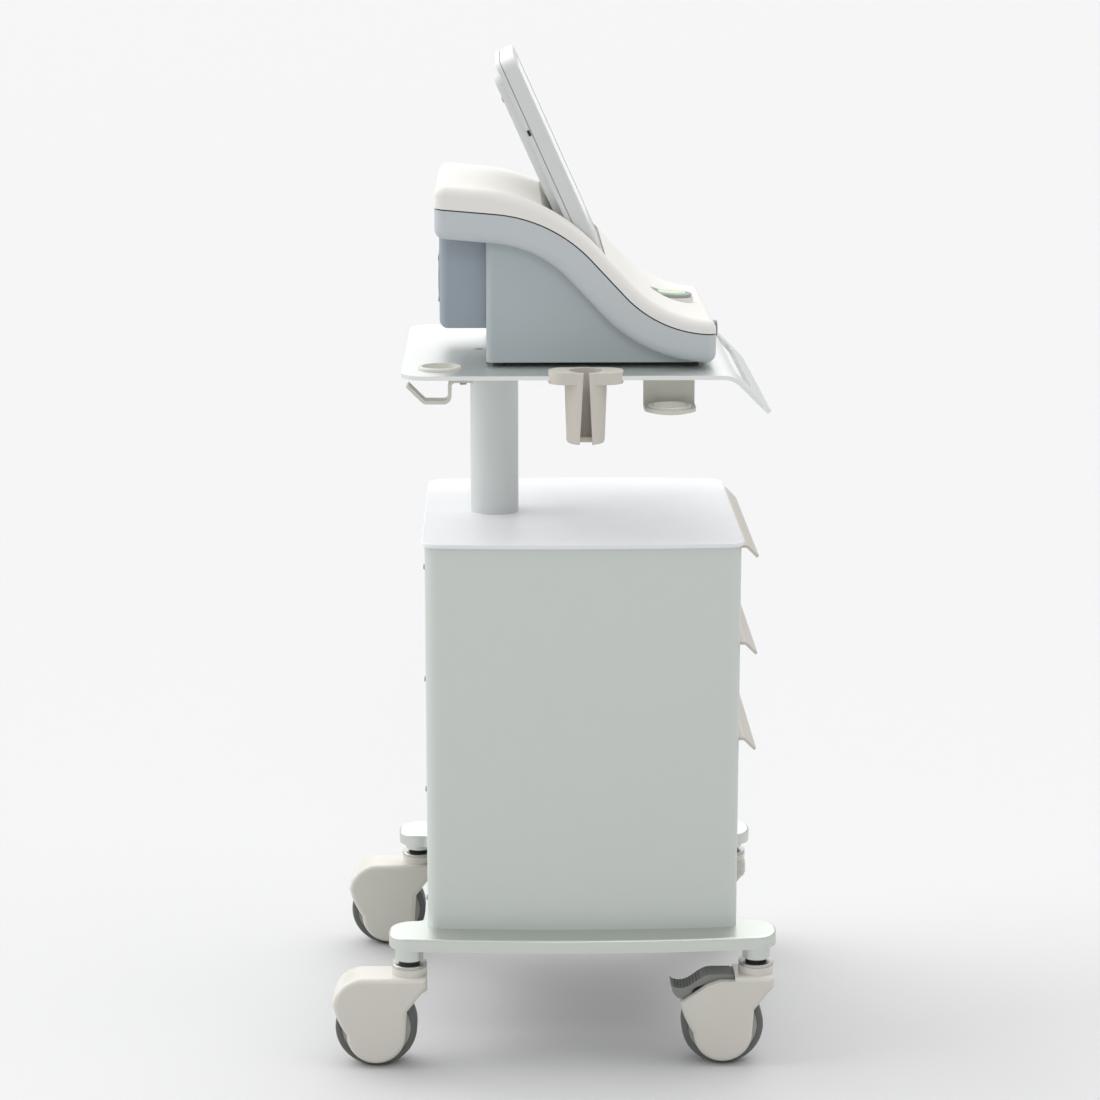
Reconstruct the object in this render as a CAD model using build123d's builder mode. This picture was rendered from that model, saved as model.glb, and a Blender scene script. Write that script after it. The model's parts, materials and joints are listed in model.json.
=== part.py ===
from build123d import *
import os
from math import cos, radians, sin, sqrt, tan

# Ultrasound machine on its cart. Millimetres, +Z up, +X towards the operator.
# The origin is on the floor, in the middle of the machine's length and width.

# ---- Casters
wheel_diameter = 100
wheel_width = 32
hub_diameter = 84
axle_diameter = 10
caster_trail = 41          # the wheel's axle runs this far behind the swivel stem
caster_height = 129        # floor to the top of the steel disc
disc_thickness = 3.5
neck_diameter = 43
stem_diameter = 12
hood_width = 54
hood_rear = 53             # the hood's reach behind the axle
hood_top = 115.5
wheel_gap = 2.5            # between the tread and the hood over it
side_gap = 1.5             # between the wheel's side and the hood's cheek
pedal_width = 31
pedal_pin_diameter = 5

# ---- Base frame
frame_thickness = 16
frame_overhang = 47        # past the cabinet, front and back
frame_bow = 12
frame_width = 492          # across the bowed middle
frame_rim = 4
arm_width = 66             # of each arm that reaches past the cabinet
arm_radius = 30
stem_inset_x = 25
stem_inset_y = 18
boss_diameter = 34
boss_drop = 15

# ---- Cabinet
cabinet_length = 380
cabinet_width = 412        # across the bowed middle
cabinet_height = 478
cabinet_bow = 8
corner_radius = 18
sheet = 2
top_thickness = 5
top_overhang = 3.5
floor_thickness = 3
post_size = 25
post_thickness = 3
post_inset = 20            # from the cabinet's end to the post

# ---- Drawers, from the top one down
drawer_heights = [118, 118, 231]
drawer_gap = 2
drawer_travel = 250
front_thickness = 16
front_gap = 1
tray_sheet = 1.5
tray_clearance = 24        # the tray's rim below its front's top edge
rail_height = 45
rail_width = 12.7
rail_wall = 2
rail_clearance = 0.4
pull_thickness = 3.5
pull_reach = 7
pull_slope = 19

# ---- Column and work shelf
column_x = -106
column_diameter = 60
column_wall = 3
column_height = 199
plug_thickness = 8
bolt_circle = 36
bolt_diameter = 6
shelf_width = 430
shelf_back = 215.5         # behind the cart's middle
shelf_bend = 176           # ahead of it, where the shelf turns down
shelf_thickness = 5
flap_length = 61
bend_radius = 30
shelf_corner = 30
flap_corner = 12
slot_length = 320
slot_width = 28
slot_edge = 27             # from the slot to the flap's tip

# ---- What the shelf carries
grommet_x, grommet_y = -170, -160
grommet_bore = 43
grommet_wall = 2.5
grommet_flange = 52
grommet_proud = 4
hook_x = -156
hook_width = 25
hook_sheet = 4
hook_drop = 29.5
hook_bottom = 30
hook_tip = 20
hook_y = -194.5
holder_x = 2
holder_y = -203
cup_height = 86
cup_diameter = 51
cup_foot_diameter = 45
cup_wall = 6
cup_floor = 6
ear_length = 88
ear_width = 46
ear_height = 14
ear_grip = 5               # of the ears above the shelf
mouth_top, mouth_foot = 6.5, 15
ring_x = 102
ring_y = -196
ring_bore = 40
ring_flange = 52
ring_barrel = 45.4
tray_drop = 39
tray_width = 61
tray_thickness = 4
screw_diameter = 4

# ---- Console
console_width = 330
console_back = -175.5
console_front = 158.5
shell_wall = 3
shell_depth = 35           # the lower shell below the seam
shell_edge = 12
seam_gap = 1.6
lip_reach = 4
lip_thickness = 1.5
back_fall = 4.9            # degrees, at the back of the deck
slope_fall = 46.9          # degrees, at the steepest stretch
nose_fall = 2              # degrees, at the front
# height at the back, X where the crest starts, crest radius, slope length, hollow radius
seam_curve = (1042, -103, 175, 58, 144)
deck_curve = (1070, -122, 212, 62, 141)
pedestal_back = -115
pedestal_front = 137
pedestal_width = 286
pedestal_corner = 9
foot_height = 5
foot_diameter = 16
block_length = 56
block_width = 236
block_bottom = 895
block_corner = 10
block_flange = 4
button_x = 114
button_height = 918
button_tilt = 3
button_diameter = 36
button_travel = 3
button_ring_diameter = 50
button_ring_height = 4.5
port_y = -118
port_diameter = 20
port_bore = 12
port_proud = 3.5

# ---- Display
hinge_x = 8.4
hinge_z = 991.8
display_lean = 24.4
display_swing_back = 5
display_swing_forward = 10
display_width = 294
display_height = 254
display_corner = 14
bezel_depth = 17.5
rim_depth = 6.4
panel_gap = 0.8            # between the bezel and the cover, all round
bulge_depth = 9
bulge_inset = 22
hinge_to_face = 12         # from the hinge's axis to the display's front
hinge_to_foot = 10         # from the hinge's axis to the display's lower edge
screen_width = 274
screen_height = 208
screen_thickness = 5
bay_clearance = 2.5
hinge_y = 92
hinge_pin = 8
arm_thickness = 8
ear_thickness = 6

# ---- Inside the console
board_length, board_width, board_thickness = 150, 130, 2
board_x, board_y = -30, 68
board_boss = 8
supply_length, supply_width, supply_height = 120, 80, 38
supply_x, supply_y = -45, -75
fan_size = 60
fan_depth = 25
fan_y, fan_z = -50, 950
rotor_diameter = 52
inlet_width, inlet_height = 28, 21
inlet_y, inlet_z = 60, 925

# ---- Clearances
running = 0.05             # radial, of a shaft in its bore
free_gap = 0.4             # between faces of pieces that move past each other

# ---- Heights and places that follow
frame_bottom = caster_height + 5 + boss_drop
frame_top = frame_bottom + frame_thickness
cabinet_top_z = frame_top + cabinet_height
column_bottom = cabinet_top_z + top_thickness
shelf_bottom = column_bottom + column_height
shelf_top = shelf_bottom + shelf_thickness
pedestal_bottom = shelf_top + foot_height
frame_length = cabinet_length + 2 * frame_overhang
stem_x = frame_length / 2 - stem_inset_x
stem_y = frame_width / 2 - frame_bow - stem_inset_y
wheel_radius = wheel_diameter / 2
cheek_inside = wheel_width / 2 + side_gap
rear_reach = stem_x + caster_trail + hood_rear
cart_x = (rear_reach - frame_length / 2) / 2   # the cart's middle, ahead of the origin

os.makedirs("parts", exist_ok=True)


def level(height):
    """The horizontal plane at this height, centred on the cart."""
    return Plane(origin=(cart_x, 0, height))


def upright(x=0, y=0):
    """The plane that faces -Y, with X and height as its axes."""
    return Plane(origin=(cart_x + x, y, 0), x_dir=(1, 0, 0), z_dir=(0, -1, 0))


def save(piece, name):
    piece.label = name
    export_step(piece, f"parts/{name}.step")


# ---- Base frame: one pressed plate with four arms, bowed along both sides
corner_y = frame_width / 2 - frame_bow
notch_width = 2 * (corner_y - arm_width)
inner_radius = min(15, frame_overhang - arm_radius - 1)


def frame_outline(inset):
    """The frame's plan, this far inside its edge."""
    half = frame_length / 2
    with BuildSketch() as plan:
        with BuildLine():
            near = ThreePointArc((-half, -corner_y), (0, -frame_width / 2), (half, -corner_y))
            far = ThreePointArc((half, corner_y), (0, frame_width / 2), (-half, corner_y))
            Line(near @ 1, far @ 0)
            Line(far @ 1, near @ 0)
        make_face()
        with Locations((-half, 0), (half, 0)):
            Rectangle(2 * frame_overhang, notch_width, mode=Mode.SUBTRACT)
        inner = [v for v in plan.vertices() if abs(v.X) < half - 1]
        fillet(inner, radius=inner_radius)
        outer = [v for v in plan.vertices() if abs(v.X) > half - 1]
        fillet(outer, radius=arm_radius)
        if inset:
            offset(amount=-inset, mode=Mode.REPLACE)
    return plan.sketch


stems = [(x, y) for x in (-stem_x, stem_x) for y in (-stem_y, stem_y)]

with BuildPart(level(frame_bottom)) as base_frame:
    add(frame_outline(0))
    extrude(amount=frame_thickness)
    fillet(base_frame.faces().sort_by(Axis.Z)[-1].edges(), radius=frame_rim - 1)
    add(frame_outline(frame_rim))
    extrude(amount=frame_thickness - frame_rim, mode=Mode.SUBTRACT)
    with BuildSketch(level(frame_bottom - boss_drop)):
        with Locations(*stems):
            Circle(boss_diameter / 2)
    extrude(amount=boss_drop + frame_thickness - frame_rim)
    with BuildSketch(level(frame_bottom - boss_drop)):
        with Locations(*stems):
            Circle(stem_diameter / 2)
    extrude(amount=boss_drop + frame_thickness - frame_rim, mode=Mode.SUBTRACT)
save(base_frame.part, "base_frame")

# ---- Casters
with BuildPart() as caster_stems:
    stem_foot = hood_top - 10
    with BuildSketch(level(stem_foot)):
        with Locations(*stems):
            Circle(stem_diameter / 2)
    extrude(amount=frame_top - frame_rim - stem_foot)
    with BuildSketch(level(caster_height - disc_thickness)):
        with Locations(*stems):
            Circle(neck_diameter / 2)
    extrude(amount=disc_thickness)
    fillet(caster_stems.edges().filter_by(GeomType.CIRCLE).filter_by(
        lambda e: abs(e.radius - neck_diameter / 2) < 0.1).group_by(Axis.Z)[-1], radius=1)
    with BuildSketch(level(caster_height)):
        with Locations(*stems):
            Circle(stem_diameter / 2 + 4)
    extrude(amount=frame_bottom - boss_drop - caster_height)
save(caster_stems.part, "caster_stems")

pedal_pivot = (-36, 106.5)   # from the stem, and above the floor
cheek_radius = 36
cheek_drop = 8             # the cheek's round is centred this far below the axle
back_x = -caster_trail - hood_rear
back_z = 82


def hood_outline(top):
    """The hood's side view about its stem, with its roof at this height."""
    cheek_z = wheel_radius - cheek_drop
    left, right = -caster_trail - cheek_radius, -caster_trail + cheek_radius
    neck = neck_diameter / 2
    with BuildSketch(Plane.XY) as side:
        with BuildLine():
            ThreePointArc((left, cheek_z), (-caster_trail, cheek_z - cheek_radius), (right, cheek_z))
            Polyline((right, cheek_z), (right + 2, 72), (neck - 0.5, 103), (neck - 0.5, top))
            Line((neck - 0.5, top), (-60, top))
            ThreePointArc((-60, top), (-84, top - 12), (back_x, back_z))
            ThreePointArc((back_x, back_z), (-88.5, 64), (left, cheek_z))
        make_face()
    return side.sketch


def make_hood(x, y, braked):
    """A caster's hood: a neck over two cheeks, open below for the wheel."""
    side = upright(x, y)
    stem_top = caster_height - disc_thickness - free_gap
    with BuildPart() as hood:
        with BuildSketch(side):
            add(hood_outline(hood_top))
        extrude(amount=hood_width / 2, both=True)
        cheeks = hood.faces().filter_by(Axis.Y)
        fillet(cheeks.edges(), radius=hood_width / 2 - cheek_inside - 3)
        if braked:
            with BuildSketch(side):
                with BuildLine():
                    Polyline((-120, 78), (-90, 84), (-62, 104), (-46, 110), (-27, 110), (-27, 140), (-120, 140),
                             close=True)
                make_face()
            extrude(amount=hood_width, both=True, mode=Mode.SUBTRACT)
            with BuildSketch(side):          # room for the pedal to swing down between the cheeks
                with BuildLine():
                    Polyline((-120, 60), (-96, 66), (-82, 79), (-64, 93), (-27, 93), (-27, 140), (-120, 140),
                             close=True)
                make_face()
            extrude(amount=cheek_inside, both=True, mode=Mode.SUBTRACT)
        with BuildSketch(level(hood_top - 22).shift_origin((cart_x + x, y, hood_top - 22))):
            Circle(neck_diameter / 2)
        extrude(amount=stem_top - hood_top + 22)
        with BuildSketch(side):
            with Locations((-caster_trail, wheel_radius)):
                Circle(wheel_radius + wheel_gap)
        extrude(amount=cheek_inside, both=True, mode=Mode.SUBTRACT)
        with BuildSketch(side):
            with Locations((-caster_trail, wheel_radius)):
                Circle(axle_diameter / 2 + running)
            if braked:
                with Locations(pedal_pivot):
                    Circle(pedal_pin_diameter / 2 + running)
        extrude(amount=hood_width / 2 - 3, both=True, mode=Mode.SUBTRACT)
        stem_floor = hood_top - 10 - free_gap
        with BuildSketch(level(stem_floor).shift_origin((cart_x + x, y, stem_floor))):
            Circle(stem_diameter / 2 + running)
        extrude(amount=40, mode=Mode.SUBTRACT)
    return hood.part


def make_hub(x, y):
    """The wheel's centre with its two axle stubs."""
    with BuildPart() as hub:
        with BuildSketch(upright(x, y)):
            with Locations((-caster_trail, wheel_radius)):
                Circle(hub_diameter / 2)
        extrude(amount=wheel_width / 2 - 1, both=True)
        with BuildSketch(upright(x, y)):
            with Locations((-caster_trail, wheel_radius)):
                Circle(axle_diameter / 2)
        extrude(amount=hood_width / 2 - 3 - free_gap, both=True)
    return hub.part


def make_tyre(x, y):
    """The tread band, rounded at both shoulders."""
    with BuildPart() as tyre:
        with BuildSketch(upright(x, y)):
            with Locations((-caster_trail, wheel_radius)):
                Circle(wheel_radius)
        extrude(amount=wheel_width / 2, both=True)
        fillet(tyre.edges().filter_by(GeomType.CIRCLE), radius=5)
        with BuildSketch(upright(x, y)):
            with Locations((-caster_trail, wheel_radius)):
                Circle(hub_diameter / 2)
        extrude(amount=wheel_width / 2, both=True, mode=Mode.SUBTRACT)
    return tyre.part


def make_pedal(x, y):
    """The brake pedal with its pin, between the front hood's cheeks."""
    with BuildPart() as pedal:
        with BuildSketch(upright(x, y)) as profile:
            with BuildLine():
                Polyline((-27.5, 103.5), (-27.5, 114), (-32, hood_top))
                Line((-32, hood_top), (-56, hood_top))
                Spline((-56, hood_top), (-72, 108.5), (-90, 98.5), (-105, 103), tangents=[(-1, -0.1), (-0.8, 1)])
                Polyline((-105, 103), (-103, 94))
                Spline((-103, 94), (-92, 85), (-80, 92), (-62, 103.5), tangents=[(0.6, -1), (1, 0.3)])
                Line((-62, 103.5), (-27.5, 103.5))
            make_face()
        extrude(amount=pedal_width / 2, both=True)
        with BuildSketch(upright(x, y)):
            with Locations(pedal_pivot):
                Circle(pedal_pin_diameter / 2)
        extrude(amount=hood_width / 2 - 3 - free_gap, both=True)
    return pedal.part


corners = {"rear_left": (-stem_x, -stem_y), "rear_right": (-stem_x, stem_y),
           "front_left": (stem_x, -stem_y), "front_right": (stem_x, stem_y)}
for corner, (x, y) in corners.items():
    braked = corner.startswith("front")
    save(make_hood(x, y, braked), f"caster_hood_{corner}")
    save(make_hub(x, y), f"wheel_hub_{corner}")
    save(make_tyre(x, y), f"tyre_{corner}")
    if braked:
        save(make_pedal(x, y), f"brake_pedal_{corner}")

# ---- Cabinet: bowed side skins over four posts, a back, a floor and a top
half_length = cabinet_length / 2
skin_y = cabinet_width / 2 - cabinet_bow     # the skins' ends, before the corners are rounded
wrap_y = skin_y - corner_radius              # where the skins' rounded corners end
inside_y = skin_y - sheet
post_outer = half_length - post_inset
rail_y = inside_y - post_size + 5            # the posts' inner faces, which carry the rails
tray_y = rail_y - rail_width                 # the trays' outer faces


def cabinet_outline(grow):
    """The cabinet's plan, with both sides bowed, grown by this much."""
    half, middle, end = half_length + grow, cabinet_width / 2 + grow, skin_y + grow
    with BuildSketch() as plan:
        with BuildLine():
            near = ThreePointArc((-half, -end), (0, -middle), (half, -end))
            far = ThreePointArc((half, end), (0, middle), (-half, end))
            Line(near @ 1, far @ 0)
            Line(far @ 1, near @ 0)
        make_face()
        fillet(plan.vertices(), radius=corner_radius + grow)
    return plan.sketch


def make_skin(side):
    """A side skin that wraps round both corners, on this side of the cabinet."""
    with BuildPart(level(frame_top)) as skin:
        add(cabinet_outline(0))
        extrude(amount=cabinet_height)
        add(cabinet_outline(-sheet))
        extrude(amount=cabinet_height, mode=Mode.SUBTRACT)
        with BuildSketch(level(frame_top)):
            with Locations((0, side * (wrap_y + cabinet_width / 2))):
                Rectangle(2 * cabinet_length, cabinet_width)
        extrude(amount=cabinet_height, mode=Mode.INTERSECT)
    return skin.part


save(make_skin(-1), "side_panel_left")
save(make_skin(1), "side_panel_right")

with BuildPart(level(frame_top)) as back_and_floor:   # one bent sheet
    add(cabinet_outline(-sheet - free_gap))
    extrude(amount=floor_thickness)
    with BuildSketch(level(frame_top)):
        with Locations((-half_length + sheet, 0)):
            Rectangle(2 * sheet, 2 * (wrap_y - free_gap))
    extrude(amount=floor_thickness)
    with BuildSketch(level(frame_top)):
        with Locations((-half_length + sheet / 2, 0)):
            Rectangle(sheet, 2 * (wrap_y - free_gap))
    extrude(amount=cabinet_height)
save(back_and_floor.part, "back_and_floor")

column_bolts = [(column_x + x, y) for x, y in ((bolt_circle / 2, 0), (-bolt_circle / 2, 0),
                                               (0, bolt_circle / 2), (0, -bolt_circle / 2))]

with BuildPart(level(cabinet_top_z)) as cabinet_top:
    add(cabinet_outline(top_overhang))
    extrude(amount=top_thickness)
    fillet(cabinet_top.faces().sort_by(Axis.Z)[-1].edges(), radius=1.5)
    with BuildSketch(level(cabinet_top_z)):
        with Locations(*column_bolts):
            Circle(bolt_diameter / 2 + 0.1)
    extrude(amount=top_thickness, mode=Mode.SUBTRACT)
save(cabinet_top.part, "cabinet_top")

with BuildPart() as corner_posts:
    post_foot = frame_top + floor_thickness
    with BuildSketch(level(post_foot)):
        for x in (-1, 1):
            for y in (-1, 1):
                with Locations((x * (post_outer - post_size / 2), y * (rail_y + post_thickness / 2))):
                    Rectangle(post_size, post_thickness)
                with Locations((x * (post_outer - post_thickness / 2), y * (rail_y + inside_y) / 2)):
                    Rectangle(post_thickness, inside_y - rail_y)
    extrude(amount=cabinet_top_z - post_foot)
save(corner_posts.part, "corner_posts")

# ---- Drawers: a tray behind a front with a bent pull, on a pair of slides
drawer_tops = []
drawer_top = cabinet_top_z - drawer_gap
for height in drawer_heights:
    drawer_tops.append(drawer_top)
    drawer_top -= height + drawer_gap
tray_back = -post_outer + 10
tray_front = half_length - front_thickness
rail_length = tray_front - free_gap - tray_back
rail_middle = tray_back + rail_length / 2

with BuildPart() as slide_rails:
    for top, height in zip(drawer_tops, drawer_heights):
        rail_z = top - tray_clearance - rail_height / 2 - 12
        for side in (-1, 1):
            with BuildSketch(level(rail_z - rail_height / 2)):
                with Locations((rail_middle, side * (rail_y - rail_width / 2 + 1))):
                    Rectangle(rail_length, rail_width - 2)
            extrude(amount=rail_height)
            with BuildSketch(level(rail_z - rail_height / 2 + rail_wall)):
                with Locations((rail_middle, side * (rail_y - rail_width / 2 - rail_wall))):
                    Rectangle(2 * rail_length, rail_width)
            extrude(amount=rail_height - 2 * rail_wall, mode=Mode.SUBTRACT)
save(slide_rails.part, "slide_rails")


def make_tray(top, height):
    """The open sheet-metal tray of one drawer."""
    width, length = 2 * tray_y, tray_front - tray_back
    depth = height - tray_clearance - 8
    with BuildPart() as tray:
        with BuildSketch(level(top - tray_clearance - depth)):
            with Locations((tray_back + length / 2, 0)):
                Rectangle(length, width)
        extrude(amount=depth)
        with BuildSketch(level(top - tray_clearance - depth + tray_sheet)):
            with Locations((tray_back + length / 2, 0)):
                Rectangle(length - 2 * tray_sheet, width - 2 * tray_sheet)
        extrude(amount=depth, mode=Mode.SUBTRACT)
    return tray.part


def make_front(top, height):
    """One drawer's front panel, cut back at its top for the pull."""
    with BuildPart() as front:
        with BuildSketch(level(top - height)):
            with Locations((half_length - front_thickness / 2, 0)):
                Rectangle(front_thickness, 2 * (wrap_y - front_gap))
        extrude(amount=height - pull_thickness)
        face = front.faces().sort_by(Axis.X)[-1]
        fillet(face.edges().filter_by(Axis.Z) + face.edges().sort_by(Axis.Z)[:1], radius=1.5)
    return front.part


def make_pull(top):
    """A strip along the front's top edge, bent down at 45 degrees for the fingers."""
    bend = half_length + pull_reach
    drop = pull_slope * sin(radians(45))
    with BuildPart() as pull:
        with BuildSketch(upright()):
            with BuildLine():
                FilletPolyline((half_length - front_thickness, top - pull_thickness / 2),
                               (bend, top - pull_thickness / 2),
                               (bend + drop, top - pull_thickness / 2 - drop), radius=5)
            trace(line_width=pull_thickness)
        extrude(amount=wrap_y - front_gap, both=True)
        fillet(pull.edges().filter_by(lambda e: e.length < pull_thickness + 1).group_by(Axis.X)[-1],
               radius=1.5)
    return pull.part


def make_runners(top):
    """The two inner slide members that a drawer hangs on."""
    rail_z = top - tray_clearance - rail_height / 2 - 12
    runner_height = rail_height - 2 * rail_wall - 2 * rail_clearance
    runner_width = rail_width - rail_wall - rail_clearance
    with BuildPart() as runners:
        with BuildSketch(level(rail_z - runner_height / 2)):
            with Locations(*[(rail_middle, y * (tray_y + runner_width / 2)) for y in (-1, 1)]):
                Rectangle(rail_length, runner_width)
        extrude(amount=runner_height)
    return runners.part


for name, top, height in zip(("top", "middle", "bottom"), drawer_tops, drawer_heights):
    save(make_tray(top, height), f"drawer_tray_{name}")
    save(make_front(top, height), f"drawer_front_{name}")
    save(make_pull(top), f"drawer_pull_{name}")
    save(make_runners(top), f"drawer_runners_{name}")

# ---- Column: a tube with a plug welded in at each end
with BuildPart(level(column_bottom)) as column:
    with BuildSketch(level(column_bottom)):
        with Locations((column_x, 0)):
            Circle(column_diameter / 2)
    extrude(amount=column_height)
    with BuildSketch(level(column_bottom + plug_thickness)):
        with Locations((column_x, 0)):
            Circle(column_diameter / 2 - column_wall)
    extrude(amount=column_height - 2 * plug_thickness, mode=Mode.SUBTRACT)
    with BuildSketch(level(column_bottom)):
        with Locations(*column_bolts):
            Circle(bolt_diameter / 2 + 0.1)
    extrude(amount=column_height, mode=Mode.SUBTRACT)
save(column.part, "column")

# ---- Work shelf: a plate turned down along the front, with a slot for the hand
flap_fall = flap_length * sin(radians(45))
shelf_front = shelf_bend + flap_fall
shelf_middle = shelf_top - shelf_thickness / 2
tab_screws = [(hook_x + 14, hook_y + y) for y in (-6.5, 6.5)]
tab_screws += [(ring_x + x, ring_y + ring_flange / 2 + 17) for x in (-18, 18)]

with BuildPart() as work_shelf:
    with BuildSketch(upright()):
        with BuildLine():
            FilletPolyline((-shelf_back, shelf_middle), (shelf_bend, shelf_middle),
                           (shelf_front, shelf_middle - flap_fall), radius=bend_radius)
        trace(line_width=shelf_thickness)
    extrude(amount=shelf_width / 2, both=True)
    ends = work_shelf.edges().filter_by(lambda e: abs(e.length - shelf_thickness) < 0.01)
    fillet(ends.group_by(Axis.X)[0], radius=shelf_corner)
    tips = work_shelf.edges().filter_by(lambda e: abs(e.length - shelf_thickness) < 0.01)
    fillet(tips.group_by(Axis.X)[-1], radius=flap_corner)
    tip = Vector(cart_x + shelf_front, 0, shelf_middle - flap_fall)
    flap = Plane(origin=tip, x_dir=(0, 1, 0), z_dir=(sin(radians(45)), 0, cos(radians(45))))
    with BuildSketch(flap):
        with Locations((0, slot_edge + slot_width / 2)):
            SlotOverall(slot_length, slot_width)
    extrude(amount=shelf_thickness, both=True, mode=Mode.SUBTRACT)
    with BuildSketch(level(shelf_bottom)):
        with Locations((grommet_x, grommet_y)):
            Circle(grommet_bore / 2 + grommet_wall)
        with Locations((holder_x, holder_y)):
            Circle(cup_diameter / 2 + free_gap)
        with Locations(*column_bolts):
            Circle(bolt_diameter / 2 + 0.1)
    extrude(amount=shelf_thickness, mode=Mode.SUBTRACT)
    with BuildSketch(level(shelf_top)):
        with Locations(*column_bolts):
            Circle(bolt_diameter)
    extrude(amount=-3, mode=Mode.SUBTRACT)
    with BuildSketch(level(shelf_bottom)):
        with Locations(*tab_screws):
            Circle(screw_diameter / 2 + 0.1)
    extrude(amount=shelf_thickness - 1, mode=Mode.SUBTRACT)
save(work_shelf.part, "work_shelf")

# ---- Cable grommet
with BuildPart() as cable_grommet:
    with BuildSketch(level(shelf_bottom - 3)):
        with Locations((grommet_x, grommet_y)):
            Circle(grommet_bore / 2 + grommet_wall - 0.1)
    extrude(amount=shelf_thickness + 3)
    with BuildSketch(level(shelf_top)):
        with Locations((grommet_x, grommet_y)):
            Circle(grommet_flange / 2)
    extrude(amount=grommet_proud)
    fillet(cable_grommet.faces().sort_by(Axis.Z)[-1].edges(), radius=2)
    with BuildSketch(level(shelf_bottom - 3)):
        with Locations((grommet_x, grommet_y)):
            Circle(grommet_bore / 2)
    extrude(amount=shelf_thickness + 3 + grommet_proud, mode=Mode.SUBTRACT)
save(cable_grommet.part, "cable_grommet")

# ---- Cable hook: a strip screwed under the shelf and bent up behind
with BuildPart() as cable_hook:
    low = shelf_bottom - hook_drop + hook_sheet / 2
    leg = hook_x - hook_sheet / 2
    tip_run = hook_tip * sin(radians(45)) * 1.4
    with BuildSketch(upright(y=hook_y)):
        with BuildLine():
            FilletPolyline((leg + 28, shelf_bottom - hook_sheet / 2), (leg, shelf_bottom - hook_sheet / 2),
                           (leg, low), (leg - hook_bottom, low), (leg - hook_bottom - tip_run, low + tip_run),
                           radius=7)
        trace(line_width=hook_sheet)
    extrude(amount=hook_width / 2, both=True)
    with BuildSketch(level(shelf_bottom - hook_sheet)):
        with Locations(*tab_screws[:2]):
            Circle(screw_diameter / 2 + 0.1)
    extrude(amount=hook_sheet, mode=Mode.SUBTRACT)
save(cable_hook.part, "cable_hook")

# ---- Handpiece holder: a slotted cup between two ears that grip the shelf's edge
holder_top = shelf_top + ear_grip
with BuildPart() as handpiece_holder:
    with BuildSketch(level(holder_top - ear_height)):
        with Locations((holder_x, holder_y)):
            RectangleRounded(ear_length, ear_width, ear_width / 2 - 4)
    extrude(amount=ear_height)
    with BuildSketch(level(shelf_bottom - 0.2)):
        with Locations((holder_x, -shelf_width / 2 + ear_length - 0.2)):
            Rectangle(2 * ear_length, 2 * ear_length)
    extrude(amount=shelf_thickness + 0.4, mode=Mode.SUBTRACT)
    with BuildSketch(level(holder_top)):
        with Locations((holder_x, holder_y)):
            Circle(cup_diameter / 2)
    with BuildSketch(level(holder_top - cup_height)):
        with Locations((holder_x, holder_y)):
            Circle(cup_foot_diameter / 2)
    loft()
    fillet(handpiece_holder.edges().filter_by(GeomType.CIRCLE).group_by(Axis.Z)[0], radius=4)
    with BuildSketch(level(holder_top)):
        with Locations((holder_x, holder_y)):
            Circle(cup_diameter / 2 - cup_wall)
    with BuildSketch(level(holder_top - cup_height + cup_floor)):
        with Locations((holder_x, holder_y)):
            Circle(cup_foot_diameter / 2 - cup_wall)
    loft(mode=Mode.SUBTRACT)
    with BuildSketch(upright(holder_x, holder_y)):
        with BuildLine():
            Polyline((-mouth_top / 2, holder_top), (mouth_top / 2, holder_top),
                     (mouth_foot / 2, holder_top - cup_height), (-mouth_foot / 2, holder_top - cup_height),
                     close=True)
        make_face()
    extrude(amount=cup_diameter, mode=Mode.SUBTRACT)
save(handpiece_holder.part, "handpiece_holder")

# ---- Ring holder: a bent bracket with a round tray, and the ring in it
tray_top = shelf_bottom - tray_drop + tray_thickness
plate_y = ring_y + ring_flange / 2 + 5
with BuildPart() as ring_bracket:
    with BuildSketch(level(tray_top - tray_thickness)):
        with Locations((ring_x, ring_y)):
            Circle(tray_width / 2)
        with Locations((ring_x, (ring_y + plate_y) / 2)):
            Rectangle(tray_width, plate_y - ring_y)
    extrude(amount=tray_thickness)
    with BuildSketch(level(tray_top - tray_thickness)):
        with Locations((ring_x, plate_y - tray_thickness / 2)):
            Rectangle(tray_width, tray_thickness)
    extrude(amount=tray_drop)
    with BuildSketch(level(shelf_bottom - tray_thickness)):
        with Locations((ring_x, plate_y + 10)):
            Rectangle(tray_width, 22)
    extrude(amount=tray_thickness)
    with BuildSketch(level(tray_top - tray_thickness)):
        with Locations((ring_x, ring_y)):
            Circle(ring_barrel / 2 + 0.1)
        with Locations(*tab_screws[2:]):
            Circle(screw_diameter / 2 + 0.1)
    extrude(amount=tray_drop, mode=Mode.SUBTRACT)
save(ring_bracket.part, "ring_bracket")

with BuildPart() as holder_ring:
    with BuildSketch(level(tray_top - tray_thickness - 2)):
        with Locations((ring_x, ring_y)):
            Circle(ring_barrel / 2)
    extrude(amount=tray_thickness + 2)
    with BuildSketch(level(tray_top)):
        with Locations((ring_x, ring_y)):
            Circle(ring_flange / 2)
    extrude(amount=3)
    fillet(holder_ring.faces().sort_by(Axis.Z)[-1].edges(), radius=1.4)
    with BuildSketch(level(tray_top - tray_thickness - 2)):
        with Locations((ring_x, ring_y)):
            Circle(ring_bore / 2)
    extrude(amount=tray_thickness + 5, mode=Mode.SUBTRACT)
save(holder_ring.part, "holder_ring")

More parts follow.
